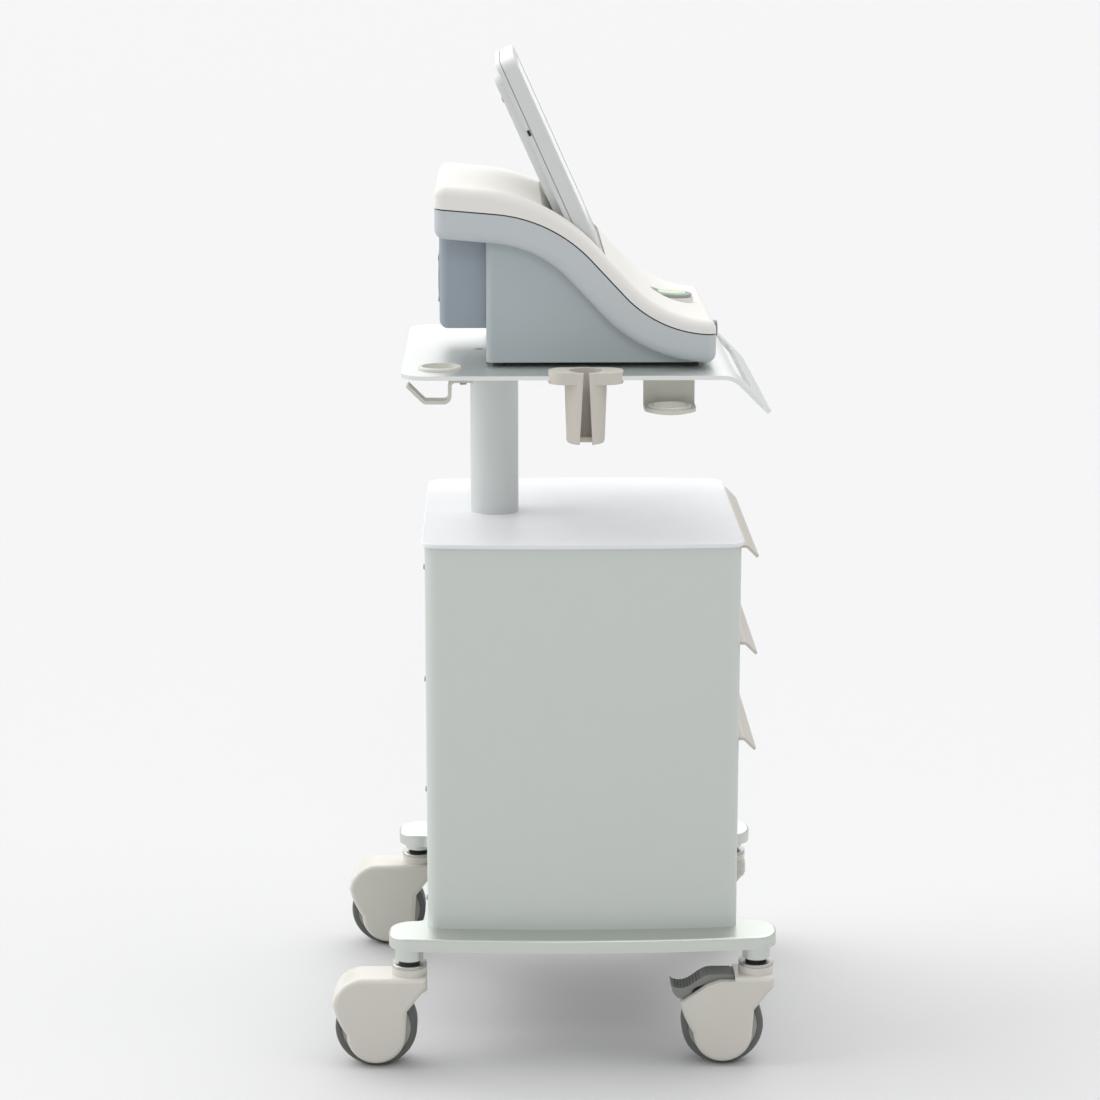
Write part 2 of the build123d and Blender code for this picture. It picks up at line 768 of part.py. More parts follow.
# ---- Fasteners: the column's bolts from below and above, and the brackets' screws
with BuildPart() as fasteners:
    with BuildSketch(level(cabinet_top_z - 5)):
        with Locations(*column_bolts):
            Circle(bolt_diameter)
    extrude(amount=5)
    with BuildSketch(level(cabinet_top_z)):
        with Locations(*column_bolts):
            Circle(bolt_diameter / 2)
    extrude(amount=top_thickness + plug_thickness)
    with BuildSketch(level(shelf_top - 3)):
        with Locations(*column_bolts):
            Circle(bolt_diameter - 0.2)
    extrude(amount=2.8)
    with BuildSketch(level(shelf_bottom - plug_thickness)):
        with Locations(*column_bolts):
            Circle(bolt_diameter / 2)
    extrude(amount=plug_thickness + shelf_thickness - 2)
    with BuildSketch(level(shelf_bottom - hook_sheet - 2.5)):
        with Locations(*tab_screws):
            Circle(screw_diameter)
    extrude(amount=2.5)
    with BuildSketch(level(shelf_bottom - hook_sheet)):
        with Locations(*tab_screws):
            Circle(screw_diameter / 2)
    extrude(amount=hook_sheet + shelf_thickness - 1.2)
save(fasteners.part, "fasteners")

# ---- Console: two shells that meet on an S-shaped seam, over a pedestal


def below(curve, depth):
    """Everything under one of the console's S-curves, moved this far down square to itself."""
    height, crest_start, crest_radius, slope_length, hollow_radius = curve
    fall = radians(back_fall)
    back, front, foot = console_back - 20, console_front + 20, shelf_top - 60
    crest_z = height - (crest_start - console_back) * tan(fall)
    with BuildSketch(Plane.XY) as region:
        with BuildLine():
            flat = Line((back, height - (back - console_back) * tan(fall) - depth / cos(fall)),
                        (crest_start - depth * sin(fall), crest_z - depth * cos(fall)))
            crest = JernArc(flat @ 1, flat % 1, crest_radius - depth, back_fall - slope_fall)
            slope = Line(crest @ 1, crest @ 1 + (crest % 1) * slope_length)
            hollow = JernArc(slope @ 1, slope % 1, hollow_radius + depth, slope_fall - nose_fall)
            drop = (front - (hollow @ 1).X) * tan(radians(nose_fall))
            nose = Line(hollow @ 1, (front, (hollow @ 1).Y - drop))
            Polyline(nose @ 1, (front, foot), (back, foot), flat @ 0)
        make_face()
    return region.sketch


def between(back, front, foot=shelf_top - 40, top=1200):
    """A rectangle in the side view that keeps what lies between these limits."""
    with BuildSketch(Plane.XY) as window:
        with Locations(((back + front) / 2, (foot + top) / 2)):
            Rectangle(front - back, top - foot)
    return window.sketch


def turned(swing):
    """The display's own frame in the side view: X out of its face, Y up its back."""
    return Location((hinge_x, hinge_z, 0), (0, 0, display_lean + swing))


display_back = hinge_to_face - bezel_depth - rim_depth
bulge_foot = bulge_inset - hinge_to_foot
bay_half = display_width / 2 + bay_clearance
with BuildSketch(Plane.XY) as bay:           # what the display's foot sweeps as it tilts
    for swing in (-display_swing_forward, 0, display_swing_back):
        foot_z, top_z = -hinge_to_foot - bay_clearance, 110
        front_x, back_x = hinge_to_face + bay_clearance, display_back - bay_clearance
        with Locations(turned(swing)):
            with Locations(((front_x + back_x) / 2, (foot_z + top_z) / 2)):
                Rectangle(front_x - back_x, top_z - foot_z)
            with Locations((back_x - bulge_depth / 2, (bulge_foot - bay_clearance + top_z) / 2)):
                Rectangle(bulge_depth, top_z - bulge_foot + bay_clearance)
    make_hull()

def console_body(inset):
    """The form of both shells together, with every face moved inwards by this much."""
    with BuildPart() as body:
        with BuildSketch(upright()):
            add(below(deck_curve, inset))
            add(below(seam_curve, shell_depth - inset), mode=Mode.SUBTRACT)
            add(between(console_back + inset, console_front - inset), mode=Mode.INTERSECT)
        extrude(amount=console_width / 2 - inset, both=True)
        ends = body.faces().sort_by(Axis.X)
        sides = body.faces().sort_by(Axis.Y)
        rims = {e for face in (ends[0], ends[-1], sides[0], sides[-1]) for e in face.edges()}
        fillet(rims, radius=shell_edge - inset)
    return body.part


console_form = console_body(0)
console_hollow = console_body(shell_wall)

button_plane = Plane(origin=(cart_x + button_x, 0, button_height),
                     z_dir=(sin(radians(button_tilt)), 0, cos(radians(button_tilt))))
button_well = button_travel + 7
port_z = 894
port_length = 22

with BuildPart() as bay_block:               # the walls round the display's foot
    with BuildSketch(upright()):
        add(bay.sketch)
        offset(amount=shell_wall, mode=Mode.REPLACE)
    extrude(amount=bay_half + shell_wall, both=True)
    add(console_form, mode=Mode.INTERSECT)

with BuildPart() as lip:                     # the tongue that seats inside the lower shell
    add(console_hollow)
    with BuildSketch(upright()):
        add(below(seam_curve, -lip_reach))
        add(below(seam_curve, lip_reach), mode=Mode.SUBTRACT)
    extrude(amount=console_width, both=True, mode=Mode.INTERSECT)
    add(console_body(shell_wall + lip_thickness), mode=Mode.SUBTRACT)

with BuildPart() as upper_shell:
    add(console_form)
    with BuildSketch(upright()):
        add(below(seam_curve, -seam_gap / 2))
    extrude(amount=console_width, both=True, mode=Mode.SUBTRACT)
    add(console_hollow, mode=Mode.SUBTRACT)
    add(lip.part)
    add(bay_block.part)
    with BuildSketch(upright()):
        add(bay.sketch)
    extrude(amount=bay_half, both=True, mode=Mode.SUBTRACT)
    with BuildSketch(button_plane):
        Circle(button_ring_diameter / 2 + 2)
    extrude(amount=-button_well)
    with BuildSketch(button_plane):
        Circle(button_ring_diameter / 2 + 2)
    extrude(amount=shell_edge * 2, mode=Mode.SUBTRACT)
    with BuildSketch(button_plane):
        Circle(button_diameter / 2 + free_gap)
    extrude(amount=shell_wall - button_well, mode=Mode.SUBTRACT)
    with BuildSketch(Plane(origin=(cart_x + console_front, port_y, port_z), z_dir=(1, 0, 0))):
        Circle(port_diameter / 2 + 0.1)
    extrude(amount=port_length, both=True, mode=Mode.SUBTRACT)
save(upper_shell.part, "upper_shell")

with BuildPart() as lower_shell:
    add(console_form)
    with BuildSketch(upright()):
        add(below(seam_curve, seam_gap / 2))
    extrude(amount=console_width, both=True, mode=Mode.INTERSECT)
    add(console_hollow, mode=Mode.SUBTRACT)
    with BuildSketch(Plane(origin=(cart_x + console_front, port_y, port_z), z_dir=(1, 0, 0))):
        Circle(port_diameter / 2 + 0.1)
    extrude(amount=port_length, both=True, mode=Mode.SUBTRACT)
save(lower_shell.part, "lower_shell")

with BuildPart() as pedestal:
    with BuildSketch(upright()):
        add(below(seam_curve, shell_depth))
        add(between(pedestal_back, pedestal_front, pedestal_bottom), mode=Mode.INTERSECT)
    extrude(amount=pedestal_width / 2, both=True)
    fillet(pedestal.edges().filter_by(Axis.Z), radius=min(pedestal_corner, 20))
    with BuildSketch(upright()):
        add(below(seam_curve, shell_depth + shell_wall))
        add(between(pedestal_back + shell_wall, pedestal_front - shell_wall,
                    pedestal_bottom + shell_wall), mode=Mode.INTERSECT)
    extrude(amount=pedestal_width / 2 - shell_wall, both=True, mode=Mode.SUBTRACT)
    with BuildSketch(level(pedestal_bottom + shell_wall)):
        with Locations((board_x, board_y)):
            with GridLocations(board_length - 12, board_width - 12, 2, 2):
                Circle(4)
    extrude(amount=board_boss)
save(pedestal.part, "pedestal")

with BuildPart() as main_board:
    with BuildSketch(level(pedestal_bottom + shell_wall + board_boss)):
        with Locations((board_x, board_y)):
            Rectangle(board_length, board_width)
    extrude(amount=board_thickness)
    with BuildSketch(level(pedestal_bottom + shell_wall + board_boss + board_thickness)):
        with Locations((board_x - 30, board_y)):
            Rectangle(40, 40)
        with Locations((board_x + 20, board_y - 30), (board_x + 20, board_y + 25)):
            Rectangle(18, 26)
    extrude(amount=6)
save(main_board.part, "main_board")

with BuildPart() as power_supply:
    with BuildSketch(level(pedestal_bottom + shell_wall)):
        with Locations((supply_x, supply_y)):
            Rectangle(supply_length, supply_width)
    extrude(amount=supply_height)
    chamfer(power_supply.edges().filter_by(Axis.Z), length=2)
save(power_supply.part, "power_supply")

with BuildPart() as rubber_feet:
    feet = [(x, y) for x in (pedestal_back + 16, pedestal_front - 5)
            for y in (-pedestal_width / 2 + 14, pedestal_width / 2 - 14)]
    with BuildSketch(level(shelf_top)):
        with Locations(*feet):
            Circle(foot_diameter / 2)
    extrude(amount=foot_height)
save(rubber_feet.part, "rubber_feet")

# ---- Connector block behind the pedestal, with the fan and the power inlet
block_back = pedestal_back - block_length
wall_plane = Plane(origin=(cart_x + block_back, 0, 0), x_dir=(0, -1, 0), z_dir=(-1, 0, 0))
with BuildPart() as connector_block:
    with BuildSketch(upright()):
        add(below(seam_curve, shell_depth))
        add(between(block_back, pedestal_back, block_bottom), mode=Mode.INTERSECT)
    extrude(amount=block_width / 2, both=True)
    back_edges = connector_block.faces().sort_by(Axis.X)[0].edges()
    fillet(back_edges.filter_by(Axis.Z) + back_edges.sort_by(Axis.Z)[:1], radius=block_corner)
    with BuildSketch(upright()):
        add(below(seam_curve, shell_depth))
        add(below(seam_curve, shell_depth + block_flange), mode=Mode.SUBTRACT)
        add(between(block_back + block_length / 2 - 2, pedestal_back), mode=Mode.INTERSECT)
    extrude(amount=block_width / 2 + 8, both=True)
    with BuildSketch(upright()):
        add(below(seam_curve, shell_depth + shell_wall))
        add(between(block_back + shell_wall, pedestal_back - shell_wall, block_bottom + shell_wall),
            mode=Mode.INTERSECT)
    extrude(amount=block_width / 2 - shell_wall, both=True, mode=Mode.SUBTRACT)
    with BuildSketch(wall_plane):
        with Locations((-inlet_y, inlet_z)):
            Rectangle(inlet_width + 0.2, inlet_height + 0.2)
        with Locations((-fan_y, fan_z)):
            with PolarLocations(rotor_diameter / 4, 6):
                SlotCenterToCenter(9, 4, rotation=90)
            with PolarLocations(rotor_diameter / 2 - 3, 12):
                SlotCenterToCenter(6, 4, rotation=90)
    extrude(amount=-shell_wall, mode=Mode.SUBTRACT)
save(connector_block.part, "connector_block")

fan_plane = wall_plane.offset(-shell_wall)
with BuildPart() as fan_frame:
    with BuildSketch(fan_plane):
        with Locations((-fan_y, fan_z)):
            RectangleRounded(fan_size, fan_size, 4)
            Circle(rotor_diameter / 2 + 1, mode=Mode.SUBTRACT)
    extrude(amount=-fan_depth)
    with BuildSketch(fan_plane.offset(-fan_depth)):
        with Locations((-fan_y, fan_z)):
            Circle(10)
            for turn in (0, 90):
                Rectangle(fan_size - 4, 5, rotation=turn)
    extrude(amount=3)
    with BuildSketch(fan_plane.offset(-fan_depth + 3)):
        with Locations((-fan_y, fan_z)):
            Circle(3)
    extrude(amount=10)
save(fan_frame.part, "fan_frame")

with BuildPart() as fan_rotor:
    with BuildSketch(fan_plane.offset(-fan_depth + 4)):
        with Locations((-fan_y, fan_z)):
            Circle(11)
            with PolarLocations(0, 7):
                with Locations((rotor_diameter / 4 + 2, 0)):
                    Rectangle(rotor_diameter / 2 - 4, 3)
    extrude(amount=fan_depth - 7)
    with BuildSketch(fan_plane.offset(-fan_depth + 4)):
        with Locations((-fan_y, fan_z)):
            Circle(3 + running)
    extrude(amount=10, mode=Mode.SUBTRACT)
save(fan_rotor.part, "fan_rotor")

with BuildPart() as power_inlet:
    with BuildSketch(wall_plane):
        with Locations((-inlet_y, inlet_z)):
            Rectangle(inlet_width, inlet_height)
    extrude(amount=-28)
    with BuildSketch(wall_plane):
        with Locations((-inlet_y, inlet_z)):
            RectangleRounded(inlet_width + 20, inlet_height + 8, 4)
    extrude(amount=2)
    with BuildSketch(wall_plane.offset(2)):
        with Locations((-inlet_y, inlet_z)):
            RectangleRounded(inlet_width - 4, inlet_height - 5, 3)
    extrude(amount=-20, mode=Mode.SUBTRACT)
    with BuildSketch(wall_plane.offset(-18)):
        with Locations((-inlet_y, inlet_z)):
            with Locations((-7, -1), (0, 3), (7, -1)):
                Rectangle(2, 4)
    extrude(amount=14)
save(power_inlet.part, "power_inlet")

port_plane = Plane(origin=(cart_x + console_front, port_y, port_z), z_dir=(1, 0, 0))
with BuildPart() as handpiece_port:
    with BuildSketch(port_plane.offset(port_proud - port_length)):
        Circle(port_diameter / 2)
    extrude(amount=port_length)
    fillet(handpiece_port.faces().sort_by(Axis.X)[-1].edges(), radius=1)
    with BuildSketch(port_plane.offset(port_proud)):
        Circle(port_bore / 2)
    extrude(amount=-port_length + 4, mode=Mode.SUBTRACT)
save(handpiece_port.part, "handpiece_port")

# ---- Stop button in its ring
with BuildPart() as button_ring:
    with BuildSketch(button_plane):
        Circle(button_ring_diameter / 2)
    extrude(amount=button_ring_height)
    fillet(button_ring.faces().sort_by(Axis.Z)[-1].edges(), radius=2)
    with BuildSketch(button_plane):
        Circle(button_diameter / 2 + free_gap)
    extrude(amount=button_ring_height, mode=Mode.SUBTRACT)
save(button_ring.part, "button_ring")

with BuildPart() as stop_button:
    with BuildSketch(button_plane.offset(-3.5)):
        Circle(button_diameter / 2)
    extrude(amount=button_ring_height + 4.5)
    fillet(stop_button.faces().sort_by(Axis.Z)[-1].edges(), radius=1.2)
save(stop_button.part, "stop_button")

# ---- Display: a bezel and a rear cover over a touch screen, on two hinge arms
lean = radians(display_lean)
display_plane = Plane(origin=(cart_x + hinge_x, 0, hinge_z), x_dir=(0, 1, 0), z_dir=(cos(lean), 0, sin(lean)))
display_middle = display_height / 2 - hinge_to_foot
screen_middle = display_height - hinge_to_foot - 14 - screen_height / 2
notch_inside = hinge_y - arm_thickness / 2 - 2
notch_outside = hinge_y + arm_thickness / 2 + ear_thickness + 2
notch_top = 14


def on_display(offset_out):
    """The plane parallel to the display's face, this far in front of the hinge's axis."""
    return display_plane.offset(offset_out)


def panel_outline(width, height, radius, middle=display_middle, mode=Mode.ADD):
    """Draw a rounded rectangle on the display's middle line."""
    with Locations((0, middle)):
        RectangleRounded(width, height, radius, mode=mode)


def notches():
    """Draw the room round both hinges in the display's foot."""
    with Locations(*[(side * (notch_inside + notch_outside) / 2, notch_top - 20) for side in (-1, 1)]):
        Rectangle(notch_outside - notch_inside, 40)


bezel_back = hinge_to_face - bezel_depth
glass_seat = screen_thickness - 2
with BuildPart() as display_bezel:
    with BuildSketch(on_display(bezel_back)):
        panel_outline(display_width, display_height, display_corner)
    extrude(amount=bezel_depth)
    fillet(display_bezel.faces().sort_by(Axis(display_plane.origin, display_plane.z_dir))[-1].edges(), radius=3)
    with BuildSketch(on_display(hinge_to_face)):
        panel_outline(screen_width + 0.4, screen_height + 0.4, 3, screen_middle)
    extrude(amount=-glass_seat, mode=Mode.SUBTRACT)
    with BuildSketch(on_display(hinge_to_face)):
        panel_outline(screen_width - 8, screen_height - 8, 2, screen_middle)
    extrude(amount=-bezel_depth, mode=Mode.SUBTRACT)
    with BuildSketch(on_display(bezel_back)):
        panel_outline(display_width - 6, display_height - 6, display_corner - 3)
    extrude(amount=bezel_depth - glass_seat - 2.5, mode=Mode.SUBTRACT)
    with BuildSketch(on_display(hinge_to_face)):
        notches()
    extrude(amount=-50, mode=Mode.SUBTRACT)
save(display_bezel.part, "display_bezel")

with BuildPart() as touch_screen:
    with BuildSketch(on_display(hinge_to_face - glass_seat)):
        panel_outline(screen_width, screen_height, 2.8, screen_middle)
    extrude(amount=glass_seat - 0.3)
    with BuildSketch(on_display(hinge_to_face - glass_seat)):
        panel_outline(screen_width - 9, screen_height - 9, 2, screen_middle)
    extrude(amount=-9)
save(touch_screen.part, "touch_screen")

bulge_top = display_height - hinge_to_foot - 12
bulge_middle = (bulge_top + bulge_foot) / 2
bulge_height = bulge_top - bulge_foot
with BuildPart() as display_cover:
    with BuildSketch(on_display(bezel_back - panel_gap)):
        panel_outline(display_width, display_height, display_corner)
    extrude(amount=panel_gap - rim_depth)
    with BuildSketch(on_display(display_back)):
        panel_outline(display_width - 24, bulge_height, display_corner, bulge_middle)
    extrude(amount=-bulge_depth, taper=25)
    with BuildSketch(on_display(bezel_back)):
        panel_outline(display_width - 6, display_height - 6, display_corner - 3)
    extrude(amount=3 - rim_depth, mode=Mode.SUBTRACT)
    with BuildSketch(on_display(display_back + 3)):
        panel_outline(display_width - 32, bulge_height - 8, display_corner - 4, bulge_middle)
    extrude(amount=-bulge_depth, taper=25, mode=Mode.SUBTRACT)
    with BuildSketch(on_display(bezel_back + lip_reach)):
        panel_outline(display_width - 6, display_height - 6, display_corner - 3)
        panel_outline(display_width - 6 - 2 * lip_thickness, display_height - 6 - 2 * lip_thickness,
                      display_corner - 3 - lip_thickness, mode=Mode.SUBTRACT)
    extrude(amount=-lip_reach - rim_depth + 3)
    with BuildSketch(on_display(hinge_to_face)):
        notches()
    extrude(amount=-50, mode=Mode.SUBTRACT)
save(display_cover.part, "display_cover")

# ---- Hinge: arms in the display, ears with pins on the bay's floor
arm_inside = display_back - bulge_depth + 3
arm_web = -7
with BuildPart() as hinge_arms:
    for side in (-1, 1):
        with BuildSketch(upright(y=side * hinge_y)):
            with Locations(turned(0)):
                Circle(hinge_pin / 2 + 4)
                with Locations((arm_web / 2 - 1, 23)):
                    Rectangle(-arm_web, 46)
                with Locations(((arm_web + arm_inside) / 2, 35)):
                    Rectangle(arm_web - arm_inside, 22)
                Circle(hinge_pin / 2 + running, mode=Mode.SUBTRACT)
        extrude(amount=arm_thickness / 2, both=True)
save(hinge_arms.part, "hinge_arms")

with BuildPart() as hinge_brackets:
    for side in (-1, 1):
        ear_y = side * (hinge_y + arm_thickness / 2 + 0.5 + ear_thickness / 2)
        with BuildSketch(upright(y=ear_y)):
            with Locations((hinge_x, hinge_z)):
                Circle(hinge_pin / 2 + 4)
                with Locations((0, -20)):
                    Rectangle(hinge_pin + 8, 40)
            add(bay.sketch, mode=Mode.INTERSECT)
        extrude(amount=ear_thickness / 2, both=True)
        with BuildSketch(upright(y=ear_y)):
            with Locations((hinge_x, hinge_z)):
                Circle(hinge_pin / 2)
        extrude(amount=side * (arm_thickness + 3.5))
save(hinge_brackets.part, "hinge_brackets")
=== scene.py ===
"""An ultrasound machine on its cart: finishes, small fittings, studio light and camera."""

import json
import logging
import math
from collections.abc import Callable
from dataclasses import dataclass, field
from enum import Enum

import bpy
from mathutils import Matrix, Vector


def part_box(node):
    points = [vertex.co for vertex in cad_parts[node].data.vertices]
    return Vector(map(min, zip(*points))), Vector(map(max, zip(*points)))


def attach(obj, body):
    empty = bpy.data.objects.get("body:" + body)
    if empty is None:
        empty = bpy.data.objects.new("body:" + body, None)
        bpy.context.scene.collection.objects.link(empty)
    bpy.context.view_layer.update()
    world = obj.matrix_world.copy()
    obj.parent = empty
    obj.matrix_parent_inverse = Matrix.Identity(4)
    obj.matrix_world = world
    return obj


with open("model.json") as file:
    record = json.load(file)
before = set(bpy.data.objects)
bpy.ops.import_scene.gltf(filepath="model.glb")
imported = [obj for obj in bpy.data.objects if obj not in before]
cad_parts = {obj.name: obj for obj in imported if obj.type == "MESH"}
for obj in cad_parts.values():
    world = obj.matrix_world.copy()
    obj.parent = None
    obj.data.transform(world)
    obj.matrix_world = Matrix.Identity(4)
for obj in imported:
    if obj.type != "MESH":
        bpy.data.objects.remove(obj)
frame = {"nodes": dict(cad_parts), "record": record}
log = logging.getLogger("ultrasound_cart")

MACHINE = "machine"
FRONT_CASTERS = ("front_left", "front_right")
CASTERS = ("rear_left", "rear_right") + FRONT_CASTERS
DRAWERS = ("top", "middle", "bottom")

Colour = tuple[int, int, int]
FaceTest = Callable[[bpy.types.MeshPolygon], bool]


def linear(colour: Colour) -> tuple[float, float, float, float]:
    """Turn a display colour of 0 to 255 into the linear colour that a shader takes.

    Args:
        colour: Red, green and blue, each 0 to 255.

    Returns:
        The linear colour, with an alpha of 1.
    """
    parts = [c / 255 for c in colour]
    return (*(p / 12.92 if p <= 0.04045 else ((p + 0.055) / 1.055) ** 2.4 for p in parts), 1.0)


# ---------------------------------------------------------------- finishes


class Surface(Enum):
    """How a finish breaks up the light close to."""

    POWDER = "powder coat, with a fine orange peel"
    MOULDED = "spark-eroded texture on moulded plastic"
    GLOSS = "smooth glossy moulding"
    RUBBER = "matt rubber with scuffs"
    BRUSHED = "drawn or brushed metal"


class NodeSheet:
    """One material's node tree, drawn from left to right."""

    def __init__(self, name: str) -> None:
        """Start an empty tree with one shader.

        Args:
            name: The material's name.
        """
        self.material = bpy.data.materials.new(name)
        self.material.use_nodes = True
        self.tree = self.material.node_tree
        self.tree.nodes.clear()
        self.output = self.add("ShaderNodeOutputMaterial")
        self.shader = self.add("ShaderNodeBsdfPrincipled")
        self.join(self.shader, "BSDF", self.output, "Surface")
        self.place = self.add("ShaderNodeTexCoord")

    def add(self, kind: str, **settings: object) -> bpy.types.Node:
        """Add a node and set its properties.

        Args:
            kind: The node's type.
            **settings: Properties to set on it.

        Returns:
            The new node.
        """
        node = self.tree.nodes.new(kind)
        for key, value in settings.items():
            setattr(node, key, value)
        return node

    def join(self, source: bpy.types.Node, out: str | int, target: bpy.types.Node, into: str | int) -> None:
        """Link one node's output to another's input."""
        self.tree.links.new(source.outputs[out], target.inputs[into])

    def noise(self, scale: float, detail: float = 3.0, stretch: Vector | None = None) -> bpy.types.Node:
        """Add a noise read from the object's own coordinates.

        Args:
            scale: Waves per metre.
            detail: Octaves.
            stretch: Extra scale along each axis, for drawn metal.

        Returns:
            The noise node.
        """
        node = self.add("ShaderNodeTexNoise")
        node.inputs["Scale"].default_value = scale
        node.inputs["Detail"].default_value = detail
        if stretch is None:
            self.join(self.place, "Object", node, "Vector")
        else:
            mapping = self.add("ShaderNodeMapping")
            mapping.inputs["Scale"].default_value = stretch
            self.join(self.place, "Object", mapping, "Vector")
            self.join(mapping, "Vector", node, "Vector")
        return node

    def ramp(self, source: bpy.types.Node, out: str | int, low: float, high: float,
             to_low: float = 0.0, to_high: float = 1.0) -> bpy.types.Node:
        """Map a value from one range to another, clamped.

        Args:
            source: The node that gives the value.
            out: Its output.
            low: The value that becomes to_low.
            high: The value that becomes to_high.
            to_low: The first result.
            to_high: The last result.

        Returns:
            The Map Range node, whose output is "Result".
        """
        node = self.add("ShaderNodeMapRange", clamp=True)
        for name, value in (("From Min", low), ("From Max", high), ("To Min", to_low), ("To Max", to_high)):
            node.inputs[name].default_value = value
        self.join(source, out, node, "Value")
        return node

    def axis(self, letter: str) -> bpy.types.Node:
        """Give one of the object's own coordinates as a node with the output of that letter."""
        node = self.add("ShaderNodeSeparateXYZ")
        self.join(self.place, "Object", node, "Vector")
        return node

    def mix(self, factor: bpy.types.Node, out: str | int, first: object, second: object) -> bpy.types.Node:
        """Mix two colours by a factor.

        Args:
            factor: The node that gives the factor.
            out: Its output.
            first: A linear colour, or a Mix node, shown at 0.
            second: A linear colour, or a Mix node, shown at 1.

        Returns:
            The Mix node, whose colour output is number 2.
        """
        node = self.add("ShaderNodeMix", data_type="RGBA")
        self.join(factor, out, node, 0)
        for number, value in ((6, first), (7, second)):
            if isinstance(value, bpy.types.Node):
                self.join(value, 2, node, number)
            else:
                node.inputs[number].default_value = value
        return node

    def bump(self, source: bpy.types.Node, out: str | int, height: float, strength: float = 1.0) -> None:
        """Add a bump, on top of any bump already there.

        Args:
            source: The node that gives the height.
            out: Its output.
            height: The height of a full step, in metres.
            strength: How much of it shows.
        """
        node = self.add("ShaderNodeBump")
        node.inputs["Strength"].default_value = strength
        node.inputs["Distance"].default_value = height
        self.join(source, out, node, "Height")
        before = self.shader.inputs["Normal"].links
        if before:
            self.tree.links.new(before[0].from_socket, node.inputs["Normal"])
        self.join(node, "Normal", self.shader, "Normal")

    def set(self, **values: float) -> None:
        """Set uniform numbers on the shader's own sockets, named with underscores for spaces."""
        for key, value in values.items():
            self.shader.inputs[key.replace("_", " ")].default_value = value


@dataclass(frozen=True)
class Finish:
    """A finish that is the same all over a piece, with its own grain, mottling and handling marks."""

    name: str
    colour: Colour
    surface: Surface
    roughness: float = 0.45
    mottle: float = 0.03
    grain: float = 1400.0
    depth: float = 0.00003

    def colour_nodes(self, sheet: NodeSheet) -> bpy.types.Node:
        """Draw the colour: a base that drifts a little, over large and small areas.

        Args:
            sheet: The node tree.

        Returns:
            The node whose output 2 is the colour.
        """
        base = linear(self.colour)
        darker = (*(c * (1 - 2 * self.mottle) for c in base[:3]), 1)
        lighter = (*(min(1, c * (1 + self.mottle)) for c in base[:3]), 1)
        cloud = sheet.noise(6, 4)
        return sheet.mix(sheet.ramp(cloud, 0, 0.35, 0.65), 0, darker, lighter)

    def grain_nodes(self, sheet: NodeSheet) -> None:
        """Draw the surface's grain and the way its gloss varies."""
        marks = sheet.noise(38, 6)
        spread = 0.12 if self.surface in (Surface.RUBBER, Surface.BRUSHED) else 0.06
        rough = sheet.ramp(marks, 0, 0.3, 0.7, self.roughness - spread / 2, self.roughness + spread)
        sheet.join(rough, 0, sheet.shader, "Roughness")
        if self.surface is Surface.POWDER:
            sheet.bump(sheet.noise(self.grain * 0.5, 2), 0, self.depth * 1.4, 0.5)
            sheet.bump(sheet.noise(90, 1), 0, self.depth * 2, 0.25)
        elif self.surface is Surface.MOULDED:
            sheet.bump(sheet.noise(self.grain * 1.6, 3), 0, self.depth, 0.55)
        elif self.surface is Surface.GLOSS:
            sheet.bump(sheet.noise(60, 1), 0, self.depth * 2, 0.12)
            sheet.set(Coat_Weight=0.5, Coat_Roughness=0.06)
        elif self.surface is Surface.RUBBER:
            sheet.bump(sheet.noise(700, 5), 0, self.depth * 2.5, 0.7)
        elif self.surface is Surface.BRUSHED:
            sheet.set(Metallic=1.0)
            sheet.bump(sheet.noise(160, 4, Vector((0.15, 6, 6))), 0, self.depth, 0.5)

    def material(self) -> bpy.types.Material:
        """Build the material, or give the one that already has this name.

        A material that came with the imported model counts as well, and is given as it is.

        Returns:
            The material.
        """
        made = bpy.data.materials.get(self.name)
        if made:
            return made
        sheet = NodeSheet(self.name)
        sheet.join(self.colour_nodes(sheet), 2, sheet.shader, "Base Color")
        self.grain_nodes(sheet)
        return sheet.material


@dataclass(frozen=True)
class SplitFinish(Finish):
    """A finish that changes colour at a place along one axis, as where two mouldings meet."""

    second: Colour = (0, 0, 0)
    axis: str = "X"
    at: float = 0.0
    blend: float = 0.0003

    def colour_nodes(self, sheet: NodeSheet) -> bpy.types.Node:
        """Draw both colours and the step between them."""
        first = Finish.colour_nodes(self, sheet)
        step = sheet.ramp(sheet.axis(self.axis), self.axis, self.at - self.blend, self.at + self.blend)
        return sheet.mix(step, 0, first, linear(self.second))


